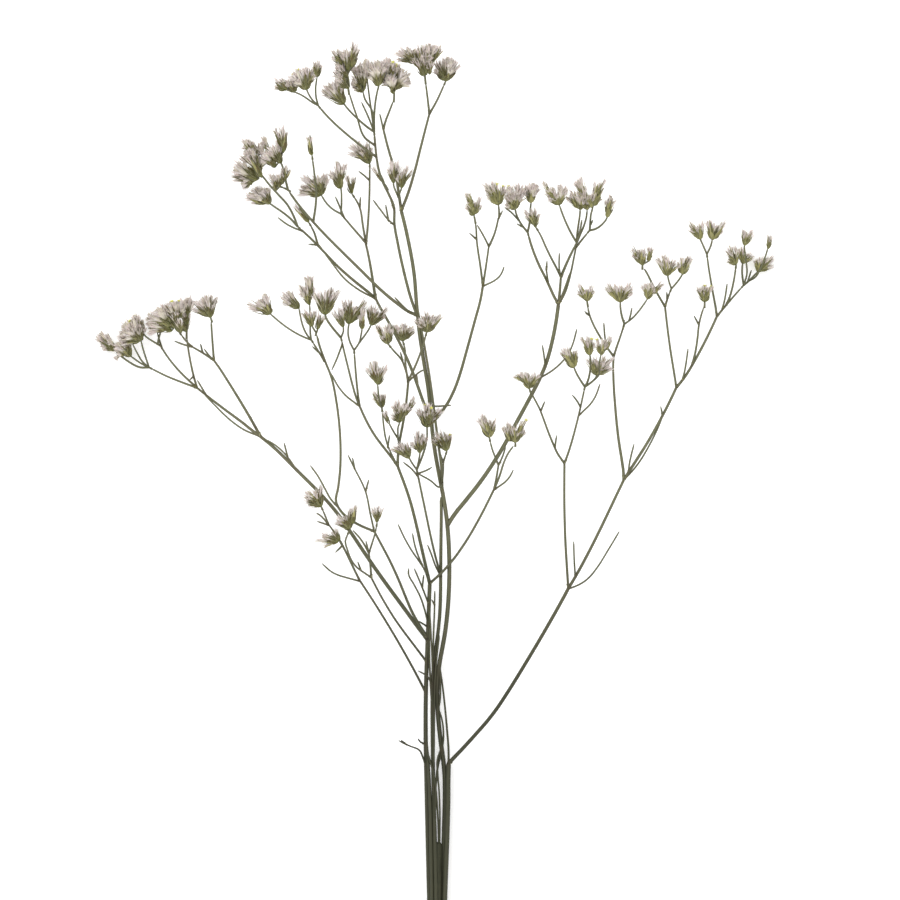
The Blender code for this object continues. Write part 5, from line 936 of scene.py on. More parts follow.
# %% Upper right sprays
def upper_right(main):
    bow = grow(main, (1.15, 0.95), (-2.0, 209), (1.6, 211.5, 20), (3.4, 214), (5.5, 217.7), (7.4, 222.3),
               (8.7, 226.7), (10.6, 233.1), (13.5, 244.8), (15.9, 251.8), (16.6, 257.6, 27))
    grow(bow, FINE, (16.6, 257.6), (18.3, 257.7), (20.6, 258.5), (22.5, 260.1), (23.5, 261.7),
         (24.1, 263.8, 30))
    left = grow(bow, TWIG, (16.6, 257.6), (15.5, 265), (14.6, 270.4), (14, 273.7), (14.3, 276.8),
                (13.8, 279.4, 33))
    grow(left, FINE, (14, 273.7), (11.7, 275.6, 34))
    head("upper_head_1", left, ((12.6, 281.2), (10.3, 285.6), -2), ((13, 284.8), (10.1, 290.2), 2),
         ((13.6, 283.6), (15.9, 289.2), 0, NARROW))
    right = grow(bow, TWIG, (16.6, 257.6), (17.3, 262), (17.9, 265.9), (18.7, 271.8, 31))
    grow(right, FINE, (18.7, 271.8), (17.1, 274.1), (15.6, 276.6, 34), (14.4, 278.6, 33.6))
    twig = grow(right, TWIG, (18.7, 271.8), (20.2, 273.9), (21.2, 277), (22.1, 281.4, 35))
    grow(twig, FINE, (22, 280.6), (23.5, 283.6, 37))
    head("upper_head_2", twig, ((21.6, 285.8), (18.7, 290.2), -1), ((21.8, 287), (19.2, 294.4), 3),
         ((22.4, 286.8), (21.4, 293.6), 6, NARROW), ((22.8, 286.4), (23.9, 293.2), 1),
         ((21.2, 288), (16.4, 293.6), 1, NARROW))
    stout = grow(main, (1.55, 1.35), (3.7, 171), (6.7, 175.7, 13.0), (10.8, 180.3), (14.9, 185.1),
                 (21.4, 195), (24.6, 200), (28.7, 208.3), (33.8, 217.2, 16), (37, 223.4), (39, 228.2),
                 (40.1, 231.5), (41.8, 238), (43.1, 245), (43.8, 251.2, 21))
    grow(stout, FINE, (39, 228.2), (38.6, 232), (37.9, 235.7, 22))
    grow(stout, FINE, (37.4, 224), (41.3, 226.1), (45.1, 229.5), (47.6, 232.6, 13), (49.1, 235.9),
         (50.5, 241.7, 12))
    left = grow(stout, (1.05, 0.85), (43.8, 251.2), (42.1, 253.1), (41.1, 255.3), (39.6, 259.3),
                (36.5, 264.2), (33.8, 271.4), (32.8, 275.4, 25))
    stub = grow(left, FINE, (39.9, 258.4), (39.1, 264, 27))
    grow(stub, FINE, (39.3, 262.6), (39.5, 265.8, 28))
    stalk = bunch("upper_head_3", left)
    twig = grow(stalk, TWIG, (32.5, 276.2), (30.7, 278.2), (29.3, 280.6), (28.2, 283, 28))
    grow(twig, FINE, (30.7, 277.9), (28.6, 279.3, 26))
    grow(twig, FINE, (29.4, 280.2), (26.8, 283.4, 31), (24.4, 284.8, 33))
    florets(twig, ((27.8, 284.8), (24.6, 286.6), -3, NARROW), ((27.8, 285), (25.5, 290.4), 2),
            ((28.4, 285.2), (27.8, 291), 5, NARROW), ((29, 285.6), (29.7, 294), 0),
            ((27, 287), (25.6, 293.4), -3, NARROW))
    florets(grow(stalk, TWIG, (32.5, 276.2), (33.2, 278.6), (33.6, 282), (33.5, 285.6, 26.5)),
            ((33, 288), (31.2, 293), -2), ((34.2, 287.4), (34.5, 294), 2, WIDE),
            ((35, 288), (36.4, 293.4), -2, NARROW))
    middle = grow(stout, SIDE, (43.8, 251.2), (44.3, 255.9), (44.6, 261, 24))
    grow(middle, FINE, (44.5, 260), (43.7, 263, 26.5), (43.9, 268.6, 30))
    twig = grow(middle, TWIG, (44.6, 261), (43, 263.4), (40.5, 267.9), (38.8, 271.2), (37.4, 275),
                (36.1, 276.9, 30))
    head("upper_head_4", twig, ((35.4, 278.4), (34.9, 285.2), 3, NARROW),
         ((34.8, 278.6), (31.2, 284.2), 5, NARROW))
    join = grow(middle, SIDE, (44.6, 261), (46.2, 264.4), (48.3, 268.8), (49.8, 271.7, 27))
    bowed = grow(stout, TWIG, (43.8, 251), (46, 254.3, 19), (47.5, 258.4), (48.5, 263.4), (49.3, 267.5),
                 (50.1, 271.6, 25.6))
    grow(stout, FINE, (43.8, 250.6), (46.2, 256.6, 24), (47.8, 261.7, 26))
    stalk = bunch("upper_head_5", join)
    florets(grow(stalk, TWIG, (50.1, 272.5), (48.7, 274.6), (46.4, 279.1), (44.8, 283, 31)),
            ((43.4, 285.6), (38.8, 291.4), -2), ((44, 286.4), (41.2, 291.8), 2),
            ((44.6, 286.4), (44.6, 292), 4), ((45, 286.6), (46.5, 292.8), -1),
            ((40.6, 289.6), (37.8, 294.4), 2, NARROW))
    florets(grow(stalk, TWIG, (50.1, 272.5), (50.2, 275.4), (50.7, 278.3), (51.4, 283, 30)),
            ((50.8, 285.6), (47.9, 291.4), -2), ((51.8, 284.8), (51.8, 289), 3))
    grow(stalk, TWIG, (50.1, 272.5), (51.4, 276, 29), (52, 280.6, 31))
    florets(grow(stalk, TWIG, (50.1, 272.5), (51.5, 275.6, 25.6), (52.8, 278.3), (53.9, 281.6, 26.5)),
            ((53.8, 285.4), (51, 291.4), -4), ((53.8, 287), (50.8, 296.4), -1),
            ((54.3, 283.6), (55, 288), 2, NARROW))
    arm = grow(bowed, TWIG, (50.1, 271.6), (52.2, 273.7), (54.3, 276.2, 28))
    stalk = bunch("upper_head_6", arm)
    twig = grow(stalk, TWIG, (54.7, 276.8), (55, 279.4), (55.1, 282.6, 33))
    grow(twig, FINE, (54.9, 278.4), (55.9, 280.4, 33))
    florets(twig, ((56.4, 285.6), (58.4, 290), -2), ((56.4, 286.6), (57.5, 294.4), 2, WIDE),
            ((57.4, 289), (60.4, 295), 4, NARROW), ((55.2, 284.6), (54.6, 289.8), 5, NARROW))
    florets(grow(stalk, TWIG, (54.7, 276.8), (56.6, 277), (58.4, 278), (60.2, 279.8), (60.9, 281, 29)),
            ((61.4, 282.2), (62.6, 289.6), 0, WIDE))


upper_right(main)
print(len(branches), "branches so far")

# %% [markdown]
# ## Inner right spray
#
# A thin strand crosses over the stout one and ends in two small heads.

# %% Inner right spray
def inner_right(outer):
    strand = grow(outer, (0.95, 0.85), (-2.6, 150.6), (1.7, 153.4, 11.2), (5.6, 158, 13.4), (10.4, 164.5),
                  (15.8, 174), (20.9, 184.7, 27))
    grow(strand, FINE, (20.4, 183.6), (22.6, 185.2), (24.6, 186.4), (26.4, 188.4), (27.4, 190.9, 30))
    up = grow(strand, TWIG, (20.9, 184.7), (21.4, 188), (22.2, 193.4, 28))
    twig = grow(up, FINE, (22.2, 193.4), (20.8, 195.6), (19.6, 198.6), (19, 201.4, 30))
    head("front_head_1", twig, ((18.3, 203.6), (14.9, 209.8), 1, WIDE), ((19.8, 203.4), (20.9, 209), 3),
         ((18.6, 204), (17.2, 209.6), 5, NARROW))
    grow(up, FINE, (22.1, 192.8), (23.2, 194.6), (24.2, 197.4), (24.6, 199.2, 30))
    second = grow(strand, TWIG, (20.9, 184.4), (22.5, 188.6, 30), (24.1, 194.1), (25.3, 196.8),
                  (27.4, 199.4, 31))
    head("front_head_2", second, ((27.8, 201.4), (27.9, 206.6), 5, NARROW),
         ((28.6, 201.2), (30.6, 206.4), -1), ((28.4, 203), (32.3, 209.4), 3, NARROW),
         ((26.6, 201.4), (25, 208.4), 1), ((26, 201), (23.6, 206.2), 4, NARROW))


inner_right(outer)
print(len(branches), "branches so far")

# %% [markdown]
# ## Right sprays
#
# The long strand to the right forks into an inner spray, a middle one and the far heads, which
# come down to the table again.

# %% Right sprays
def right_sprays(right):
    strand = grow(right, (1.45, 1.3), (4.2, 85.3), (6.4, 87, 5.6), (8.2, 88.8), (11.3, 92.1),
                  (14.3, 95.6), (18.3, 99.9), (21.4, 104), (25.4, 110), (32.5, 121.6), (40.6, 135.3),
                  (45.6, 144.4), (47.8, 148.6, 9.5))
    grow(strand, FINE, (47.4, 147.8), (50, 148.6), (52.7, 149.9), (55.3, 151.9), (57.8, 155),
         (62.1, 162.1), (66, 168.5, 4))
    inner = grow(strand, (0.95, 0.85), (47.8, 148.6), (47, 154.4), (46.2, 165.6), (45.8, 177.6),
                 (45.9, 194.1, 18))
    long = grow(strand, (1.15, 1.0), (47.8, 148.6), (50.7, 153.2), (56.2, 163.5), (61, 173.5),
                (64.7, 181.4), (67.9, 188, 8.5))
    grow(long, FINE, (50, 152), (49.5, 158, 13), (49.3, 165, 14))
    left = grow(inner, TWIG, (45.9, 194.1), (44, 195.7), (43, 197.2), (42.3, 199.4), (40.7, 202.4),
                (38.4, 208.6), (37.3, 212.5, 25), (34.6, 217, 26), (33.8, 218.6, 26.4))
    grow(left, FINE, (42.4, 198.9), (42.7, 201), (43, 203.2, 24))
    grow(left, FINE, (37.4, 212.2), (38.7, 215.4, 28))
    head("right_head_1", left, ((32.8, 220.8), (30, 225.6), -1),
         ((33.2, 220.6), (31.8, 226.4), 3, NARROW), ((34.4, 220.8), (35.6, 226), 1),
         ((31.2, 222.2), (28.4, 225.8), -3, NARROW))
    side = grow(inner, TWIG, (45.9, 194.1), (46.8, 195.4), (48.1, 199.3), (49.9, 206), (51.2, 211.2),
                (52.5, 217.6), (53, 219.9, 24))
    grow(side, FINE, (51, 210.4), (53.1, 212.5), (55.4, 214.4), (57.2, 217), (58.7, 221.8, 20))
    grow(side, FINE, (51.7, 213.4), (50.2, 216.2), (48.6, 217.7, 27))
    stalk = bunch("right_head_2", side)
    florets(grow(stalk, TWIG, (53.1, 220.7), (52.2, 222), (50.5, 224.7), (49.8, 226.2, 25.4)),
            ((48.4, 228.6), (44.2, 234.2), -2, WIDE), ((48.8, 228.8), (46.6, 235.2), 2, WIDE),
            ((49.4, 228.4), (49.8, 234), 0))
    florets(grow(stalk, TWIG, (53.1, 220.7), (54.1, 222), (55, 225.7, 28), (55.2, 228.6, 31),
            (54.9, 231, 34)), ((54.5, 232.8), (51.9, 239.2), -1), ((54.9, 233), (55.5, 238.4), 3, NARROW))
    fork = grow(stalk, TWIG, (53.1, 220.7), (54.2, 221.4), (55.4, 222.2), (57, 223.6, 26.5))
    florets(fork, ((57, 226), (53.8, 231.2), -2), ((57.2, 226.4), (56.4, 231.8), 1),
            ((58.4, 225), (60, 230), 3), ((59.2, 225.8), (63.3, 231.2), -1))
    florets(grow(fork, FINE, (56.6, 223.2), (58.2, 224.6, 30), (58.2, 230, 37.5)),
            ((57.4, 232.8), (57, 238), 1, NARROW), ((58.8, 232.6), (59.4, 238), 4),
            ((60.4, 233.6), (62.2, 239.2), 0, NARROW))
    middle = grow(long, SIDE, (67.9, 188), (67.4, 191), (66.9, 193.1), (65.4, 201.9), (64.2, 213.4),
                  (63.6, 224.7), (63.4, 229.2), (63.8, 232.6, 15.5))
    twig = grow(middle, TWIG, (63.8, 232.6), (61.6, 234.4), (60.7, 235.8), (58.9, 238.5), (56.4, 242.9),
                (54.6, 246.9), (54.3, 249.8, 17))
    grow(twig, FINE, (60.9, 235.4), (60.3, 239.6, 20), (60, 243.8, 22))
    grow(twig, FINE, (54.7, 246.6), (53.2, 247.9, 19))
    head("right_head_3", twig, ((53.2, 252.4), (51, 258), -2), ((54.4, 253), (55.8, 257.4), 2))
    up = grow(middle, TWIG, (63.8, 232.6), (65, 235.9), (66, 238.5), (67.3, 242.6, 17))
    grow(up, FINE, (67, 241.6), (67.5, 244.8, 20))
    stalk = bunch("right_head_4", up)
    florets(grow(stalk, TWIG, (67.6, 243.4), (66.9, 245), (66.3, 247.2), (66, 249.6, 17.4)),
            ((64.8, 252.2), (61.4, 258.2), -2), ((65.4, 252.2), (64.1, 257.6), 3),
            ((66.8, 252.2), (66.6, 257.4), -1, NARROW), ((67.2, 252.6), (70, 258.4), 2))
    side = grow(stalk, FINE, (67.6, 243.4), (69.4, 244.6), (71.1, 246), (72.7, 248), (74.4, 250.2, 15))
    grow(side, FINE, (69.2, 244.4), (69.9, 246.9), (70.2, 249.2, 19))
    florets(side, ((75.4, 252.4), (75.2, 258.8), -2, NARROW), ((76.4, 253.2), (77, 258.6), 2),
            ((77.4, 254.2), (81.7, 258.6), -1))
    far = grow(long, (1.1, 1.0), (67.9, 188), (69.3, 190), (71, 192.8), (75.9, 200), (78.6, 205.2),
               (80.8, 208.8), (84.8, 216.7), (86.9, 221.4, 7))
    grow(long, FINE, (68, 187.6), (70.5, 190.2, 7.2), (72.6, 192.5), (76.9, 199.6), (79.6, 205, 6.6),
         (81.4, 209.6, 6.9))
    grow(far, FINE, (69.2, 189.8), (69.3, 192.5), (70.2, 196.6), (71.1, 200.1, 13))
    grow(far, FINE, (81.6, 210.4), (80.8, 213.7, 10))
    inside = grow(far, (0.85, 0.75), (86.9, 221.4), (85.5, 227.5), (84.3, 234.1), (83.5, 240.2),
                  (82.3, 250.6, 9.5))
    left = grow(inside, TWIG, (82.3, 250.6), (80.6, 252.7), (79.2, 255.4), (77.6, 258.2, 8.4), (76, 262),
                (74.9, 263.5, 9))
    head("right_head_5", left, ((73.6, 265.4), (70.4, 271.4), -1), ((74.2, 265.8), (74.1, 271), 2),
         ((76.5, 266), (77, 271.4), 0))
    up = grow(inside, TWIG, (82.3, 250.6), (83.2, 252.9), (84.3, 255.5, 12))
    grow(up, FINE, (83.2, 252.6), (82.9, 254.9, 14))
    stalk = bunch("right_head_6", up)
    florets(grow(stalk, FINE, (84.6, 256.3), (83.8, 258.3), (83.3, 260.2, 14)),
            ((82.6, 261.8), (79.2, 267.8), -1), ((82.9, 262.2), (82.5, 268.2), 2, WIDE),
            ((84, 261.8), (86.4, 266.4), 0, NARROW))
    florets(grow(stalk, FINE, (84.6, 256.3), (86.8, 258.5), (88.2, 260.7, 11.5)),
            ((88.9, 262.2), (88.4, 268), 1), ((89.3, 262.4), (91.8, 268.2), -1, WIDE))
    outside = grow(far, (1.05, 0.9), (86.9, 221.4), (88.6, 222.9), (90.5, 225.6), (92.8, 229.6),
                   (95.7, 234.6), (99.4, 242.1), (101.6, 247.1, 6))
    grow(outside, FINE, (88.6, 222.9), (89.6, 226), (90.1, 230), (90.7, 234.7, 10))
    twig = grow(outside, TWIG, (92.2, 228.6), (93.5, 233.1), (94.3, 237.9), (94.5, 244), (95.6, 247),
                (96.4, 249.6, 9.4))
    grow(twig, FINE, (94.5, 243.6), (92.8, 246.4, 12))
    head("right_head_7", twig, ((95.1, 252.8), (93.4, 256.8), 2, NARROW),
         ((96.6, 252.6), (96.6, 258), -1), ((98, 252.4), (99.4, 257.6), 1))
    rear = grow(outside, TWIG, (101.6, 247.1), (100.9, 249.6), (99.8, 254.8, 5), (99, 260), (98.2, 263.8),
                (97.7, 268, 7))
    stalk = bunch("right_head_8", rear)
    florets(grow(stalk, FINE, (97.6, 268.8), (96.4, 271.8), (95.5, 273.6, 6)),
            ((94.7, 275.2), (91.2, 280.6), -1), ((95.3, 275.2), (95.8, 280.4), 2))
    florets(grow(stalk, FINE, (97.6, 268.8), (98.6, 270.8), (99.2, 272.2, 9)),
            ((98.5, 274.6), (97.8, 281.6), 2, WIDE), ((99.8, 274.8), (101.4, 279.6), -1),
            ((100.6, 275.6), (104.4, 281), 1))
    fork = grow(outside, TWIG, (101.6, 247.1), (103.3, 248.9), (104.7, 250.4), (107.5, 253.9),
                (110.4, 257, 5))
    grow(fork, FINE, (103.1, 248.7), (104, 251.6), (104.4, 254.3), (104.9, 258.2, 8))
    twig = grow(fork, TWIG, (104.6, 250.3), (106.2, 253.4), (107.4, 259.1), (108, 264, 9))
    head("right_head_9", twig, ((107.8, 266), (105.8, 272), 0), ((108.2, 266.2), (108, 271.4), 3, NARROW),
         ((107.4, 265.6), (104.9, 266.4), -2, NARROW))
    stalk = bunch("right_head_10", fork)
    florets(grow(stalk, TWIG, (110.9, 257.6), (110.4, 260.5), (110.4, 264.6, 4)),
            ((110.6, 266.4), (110.6, 271.8), 0.6), ((111.4, 266.4), (113.8, 269.6), -1, NARROW))
    florets(grow(stalk, FINE, (110.9, 257.6), (112.2, 262, 10), (111.4, 267.6, 13), (110.8, 271.2, 14)),
            ((110.6, 272.6), (110.4, 278), -1, NARROW), ((111.7, 272.8), (113.9, 278), 1, NARROW))
    tip = grow(stalk, TWIG, (110.9, 257.6), (113.1, 259.3), (114.6, 260.9, 2.9), (115.4, 261.9, 2.3))
    grow(tip, FINE, (112.4, 258.8), (113.6, 263, 9))
    florets(tip, ((116.6, 263), (117.4, 268.2), 1), ((117.4, 262.8), (122.5, 268.4), -0.6),
            ((117, 263.4), (119.4, 266.6), -1.4, NARROW))
    florets(grow(tip, FINE, (113, 259.4), (115.4, 260.6, 8), (118, 266, 9.6), (119.4, 270.2, 9)),
            ((119.6, 271.6), (121.2, 276), 0, NARROW))


right_sprays(right)
print(len(branches), "branches so far")

# %% [markdown]
# ## Smooth branches
#
# The drawn points are about five millimetres apart, and more in the straight foot. Straight runs
# between them would look like bent wire. A Bezier stretch between each two points, with handles
# along the neighbours' direction, gives the slow bends of a stem that dried under its own weight. At
# its start a branch flares a little, where it leaves the node that it grew from, and a bare twig
# ends in a blunt, rounded tip.

# %% Lines and widths
STATION = 1.3
# A drawn point is eased this share of the way to its neighbours' chord, at most so many millimetres.
CALM = 0.5
CALM_MOST = 0.3
FLARE = 1.2
FLARE_LENGTH = 1.5
BLUNT_LENGTH = 0.35
BLUNT = 0.55


def way_through(before, here, after):
    """Which way a smooth line passes a point. The nearer neighbour has more say."""
    run_in, run_out = here - before, after - here
    return (run_in.normalized() * run_out.length + run_out.normalized() * run_in.length).normalized()


def calmed(line):
    """The line with its small wobbles eased out of its inner points."""
    eased = [line[0]]
    for before, here, after in zip(line, line[1:], line[2:]):
        run_in, run_out = (here - before).length, (after - here).length
        shift = (before.lerp(after, run_in / (run_in + run_out)) - here) * CALM
        eased.append(here + shift * min(1.0, CALM_MOST / max(CALM_MOST, shift.length)))
    return eased + [line[-1]]


def smooth_line(line):
    """Points about a station apart on a smooth curve through the drawn ones."""
    line = calmed(line)
    ends = [line[0] * 2 - line[1], *line, line[-1] * 2 - line[-2]]
    ways = [way_through(*three) for three in zip(ends, ends[1:], ends[2:])]
    spots = []
    for start, end, way_out, way_in in zip(line, line[1:], ways, ways[1:]):
        handle = (end - start).length / 3
        count = max(2, round((end - start).length / STATION))
        spots += geometry.interpolate_bezier(
            start, start + way_out * handle, end - way_in * handle, end, count + 1)[:-1]
    return [spot.copy() for spot in spots] + [line[-1].copy()]


def run_lengths(spots):
    """How far along the line each spot is."""
    lengths = [0.0]
    for start, end in zip(spots, spots[1:]):
        lengths.append(lengths[-1] + (end - start).length)
    return lengths


def widths_along(spots, thick, flare=FLARE):
    """The branch's diameter at each spot: a taper, flared at the start and blunt at the tip."""
    lengths = run_lengths(spots)
    whole = lengths[-1]
    widths = []
    for length in lengths:
        taper = thick[0] + (thick[1] - thick[0]) * length / whole
        flared = 1 + (flare - 1) * max(0.0, 1 - length / FLARE_LENGTH) ** 2
        blunt = min(1.0, BLUNT + (1 - BLUNT) * (whole - length) / BLUNT_LENGTH)
        widths.append(taper * flared * blunt)
    return widths


# %% [markdown]
# ## Round tubes along the lines
#
# One curve object holds all the branches of a piece, and its bevel makes them round. Its mesh is
# then taken over, its end caps are welded on, and each vertex gets the attributes that the stem
# material reads, from the nearest station of a branch.

# %% Tubes
RIB_STRETCH = 0.12
FORK_REACH = 1.7
WELD = 0.001 * MM


def tube_form(runs, forks):
    """A bmesh of round branches. A run is its spots and its diameter at each of them."""
    curve = bpy.data.curves.new("tubes", "CURVE")
    curve.dimensions = "3D"
    # Each point's radius is then the branch's diameter there.
    curve.bevel_depth = 0.5 * MM
    curve.bevel_resolution = 2
    curve.use_fill_caps = True
    for spots, widths in runs:
        spline = curve.splines.new("POLY")
        spline.points.add(len(spots) - 1)
        for point, spot, width in zip(spline.points, spots, widths):
            point.co = (*place(spot), 1.0)
            point.radius = width
    guide = bpy.data.objects.new("tubes", curve)
    bpy.context.scene.collection.objects.link(guide)
    mesh = bpy.data.meshes.new_from_object(guide.evaluated_get(bpy.context.evaluated_depsgraph_get()))
    bpy.data.objects.remove(guide)
    welded = bmesh.new()
    welded.from_mesh(mesh)
    bmesh.ops.remove_doubles(welded, verts=welded.verts, dist=WELD)
    bmesh.ops.recalc_face_normals(welded, faces=welded.faces)
    welded.to_mesh(mesh)
    welded.free()
    # A bmesh that nothing was deleted from keeps new vertices at the end, where stamp looks for them.
    form = bmesh.new()
    form.from_mesh(mesh)
    bpy.data.meshes.remove(mesh)

    stations = [(place(spot), length)
                for spots, widths in runs for spot, length in zip(spots, run_lengths(spots))]
    near_station = kdtree.KDTree(len(stations))
    for index, (spot, length) in enumerate(stations):
        near_station.insert(spot, index)
    near_station.balance()
    near_fork = kdtree.KDTree(max(1, len(forks)))
    for index, spot in enumerate(forks or [Vector((0, 0, 9))]):
        near_fork.insert(spot, index)
    near_fork.balance()
    grain_layer = form.verts.layers.float_vector.new("grain")
    fork_layer = form.verts.layers.float.new("fork")
    for vert in form.verts:
        spot, index, distance = near_station.find(vert.co)
        outward = (vert.co - spot).normalized()
        vert[grain_layer] = outward + Vector((0, stations[index][1] * RIB_STRETCH, 0))
        vert[fork_layer] = max(0.0, 1 - near_fork.find(vert.co)[2] / (FORK_REACH * MM))
    return form


def finish_piece(name, form, materials):
    """Turns a bmesh into a piece that rides on the spray's one body."""
    mesh = bpy.data.meshes.new(name)
    form.to_mesh(mesh)
    form.free()
    mesh.shade_smooth()
    for material in materials:
        mesh.materials.append(material)
    piece = bpy.data.objects.new(name, mesh)
    bpy.context.scene.collection.objects.link(piece)
    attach(piece, "root")
    return piece


# %% [markdown]
# ## One shape for every bract
#
# A bract, a fork's scale and a withered petal are all thin blades that are pointed at both ends. A
# small UV sphere makes one: its poles become the foot and the tip, its front half the outer face and
# its back half the inner one, so the blade is closed by itself. The blade is then wrapped round an
# axis. With four to eight sides it has 16 to 48 faces, few enough to use it thousands of times.

# %% Blades
def blade(length, radii, wraps, thickness, sides=8, rows=6):
    """A closed blade round the Z axis. Radii are its distances from the axis, wraps its breadth in
    degrees, each from its foot to its tip."""
    form = bmesh.new()
    bmesh.ops.create_uvsphere(form, u_segments=sides, v_segments=rows, radius=1.0)
    leaf_layer = form.verts.layers.float_vector.new("leaf")
    shares = np.linspace(0, 1, len(radii))
    for vert in form.verts:
        along = math.acos(max(-1.0, min(1.0, -vert.co.z))) / math.pi
        ring = math.hypot(vert.co.x, vert.co.y)
        across, front = (vert.co.x / ring, vert.co.y / ring) if ring > 0.01 else (0.0, 0.0)
        turn = across * math.radians(np.interp(along, shares, wraps)) / 2
        out = np.interp(along, shares, radii) + front * thickness / 2
        vert.co = (out * math.sin(turn), out * math.cos(turn), along * length)
        vert[leaf_layer] = (across, along, 0.0)
    bmesh.ops.recalc_face_normals(form, faces=form.faces)
    return form


def keep_mesh(name, form, material_index):
    """Keeps a shape as a mesh that stamps are taken from."""
    for face in form.faces:
        face.material_index = material_index
        face.smooth = True
    mesh = bpy.data.meshes.new(name)
    form.to_mesh(mesh)
    form.free()
    print(name, len(mesh.polygons), "faces")
    return mesh


def stamp(form, shape, matrix, draw):
    """Adds a copy of a shape to a bmesh, with its own draw, and gives back its vertices."""
    before = len(form.verts)
    form.from_mesh(shape)
    form.verts.ensure_lookup_table()
    fresh = form.verts[before:]
    leaf_layer = form.verts.layers.float_vector["leaf"]
    for vert in fresh:
        across, along, unused = vert[leaf_layer]
        vert[leaf_layer] = (across, along, draw)
    bmesh.ops.transform(form, matrix=matrix, verts=fresh)
    return fresh


STALK_PART, BRACT_PART, CUP_PART, PETAL_PART, POLLEN_PART = range(5)
head_materials = [stem_finish, bract_finish, paper, petal_finish, pollen]

outer_bract = keep_mesh("outer_bract", blade(
    4.0, (0.22, 0.8, 1.02, 1.0, 0.85), (120, 130, 110, 70, 14), 0.1, sides=6, rows=4), BRACT_PART)
inner_bract = keep_mesh("inner_bract", blade(
    6.6, (0.18, 0.58, 0.88, 0.86, 0.66, 0.42), (90, 98, 84, 66, 48, 10), 0.1, sides=6, rows=5), BRACT_PART)
awn = keep_mesh("awn", blade(
    7.2, (0.2, 0.6, 0.85, 0.9, 0.92, 1.0), (40, 46, 38, 26, 14, 4), 0.1, sides=4, rows=4), BRACT_PART)
wisp = keep_mesh("wisp", blade(
    5.0, (0.2, 0.5, 0.75, 0.95, 1.15), (40, 44, 30, 18, 4), 0.08, sides=4, rows=4), PETAL_PART)
petal = keep_mesh("petal", blade(
    4.2, (0.1, 0.24, 0.4, 0.5, 0.62), (70, 120, 100, 64, 12), 0.06, sides=4, rows=4), PETAL_PART)
scale_leaf = keep_mesh("scale_leaf", blade(
    2.1, (0.42, 0.5, 0.5, 0.55, 0.7), (150, 210, 170, 100, 40), 0.1), 1)

# %% [markdown]
# ## A papery cup
#
# The cup is a small funnel with five ribs that run out into teeth, and the paper between them is
# folded inwards. It starts as an open ten-sided cone. Its rim is extruded twice, the odd corners
# stay back and the even ones go out, and solidify gives the paper its thickness.

# %% Cups and anthers
TEETH = 5
PAPER = 0.07


def cup(length, foot_radius, rings):
    """An open pleated funnel. A ring is its height share and the radii at its ribs and its folds."""
    form = bmesh.new()
    corners = 2 * TEETH
    first = bmesh.ops.create_circle(form, cap_ends=False, segments=corners, radius=foot_radius)
    leaf_layer = form.verts.layers.float_vector.new("leaf")
    edges = form.edges[:]
    for height, drop, rib_radius, fold_radius in rings:
        made = bmesh.ops.extrude_edge_only(form, edges=edges)["geom"]
        edges = [item for item in made if isinstance(item, bmesh.types.BMEdge)]
        for vert in (item for item in made if isinstance(item, bmesh.types.BMVert)):
            angle = math.atan2(vert.co.y, vert.co.x)
            on_rib = round(angle / (math.tau / corners)) % 2 == 0
            radius = rib_radius if on_rib else fold_radius
            rise = length * (height if on_rib else height - drop)
            vert.co = (radius * math.cos(angle), radius * math.sin(angle), rise)
            vert[leaf_layer] = (1.0 if on_rib else 0.0, height, 0.0)
    bmesh.ops.recalc_face_normals(form, faces=form.faces)
    bmesh.ops.solidify(form, geom=form.faces[:], thickness=PAPER)
    bmesh.ops.recalc_face_normals(form, faces=form.faces)
    return form


calyx = keep_mesh("calyx", cup(4.6, 0.26, ((0.6, 0.03, 0.48, 0.37), (1.0, 0.3, 0.6, 0.44))), CUP_PART)

anther_form = bmesh.new()
bmesh.ops.create_icosphere(anther_form, subdivisions=1, radius=0.3)
anther_form.verts.layers.float_vector.new("leaf")
bmesh.ops.scale(anther_form, verts=anther_form.verts, vec=(1.0, 0.7, 1.7))
anther = keep_mesh("anther", anther_form, POLLEN_PART)

# %% [markdown]
# ## The stem
#
# All branches that belong to the stem's node go into one piece. The strands that rise from the foot
# start inside it, so the foot looks like what it is: several stems grown together. The foot's cut
# end is then given the pith material, inset so that a rim of rind stays.

# %% Stem piece
ON_TABLE = 0.04 * MM

stem_runs = []
forks = []
for branch in branches:
    if branch.node == "stem":
        spots = smooth_line(branch.line)
        flare = FLARE if branch.parent else 1.0
        stem_runs.append((spots, widths_along(spots, branch.thick, flare)))
        if branch.parent:
            forks.append(place(branch.line[0]))

form = tube_form(stem_runs, forks)
foot_end = min(vert.co.y for vert in form.verts)
cut = [face for face in form.faces if face.calc_center_median().y < foot_end + 0.05 * MM]
bmesh.ops.inset_individual(form, faces=cut, thickness=0.35 * MM, use_even_offset=True)
for face in form.faces:
    if face.calc_center_median().y < foot_end + 0.01 * MM and len(face.verts) > 4:
        face.material_index = 1
for vert in form.verts:
    vert.co.z = max(vert.co.z, ON_TABLE)
stem = finish_piece("spray_stem", form, [stem_finish, pith])
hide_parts("stem")
print(stem.name, len(stem_runs), "branches,", len(stem.data.polygons), "faces")

# %% [markdown]
# ## Scales at the forks
#
# Each side branch grew in the armpit of a small scale leaf, and the dry scale still hugs its foot.
# It sits on the outer side of the branch, turned a little at random.

# %% Fork scales
SCALE_SEED = 7
SCALE_SINK = 0.5


def frame_along(axis, outward, origin):
    """A matrix whose Z runs along the axis and whose Y points outward, in the drawing's units."""
    up = axis.normalized()
    side = (outward - up * outward.dot(up)).normalized()
    across = side.cross(up)
    matrix = Matrix((across, side, up)).transposed().to_4x4()
    matrix.translation = origin
    return matrix


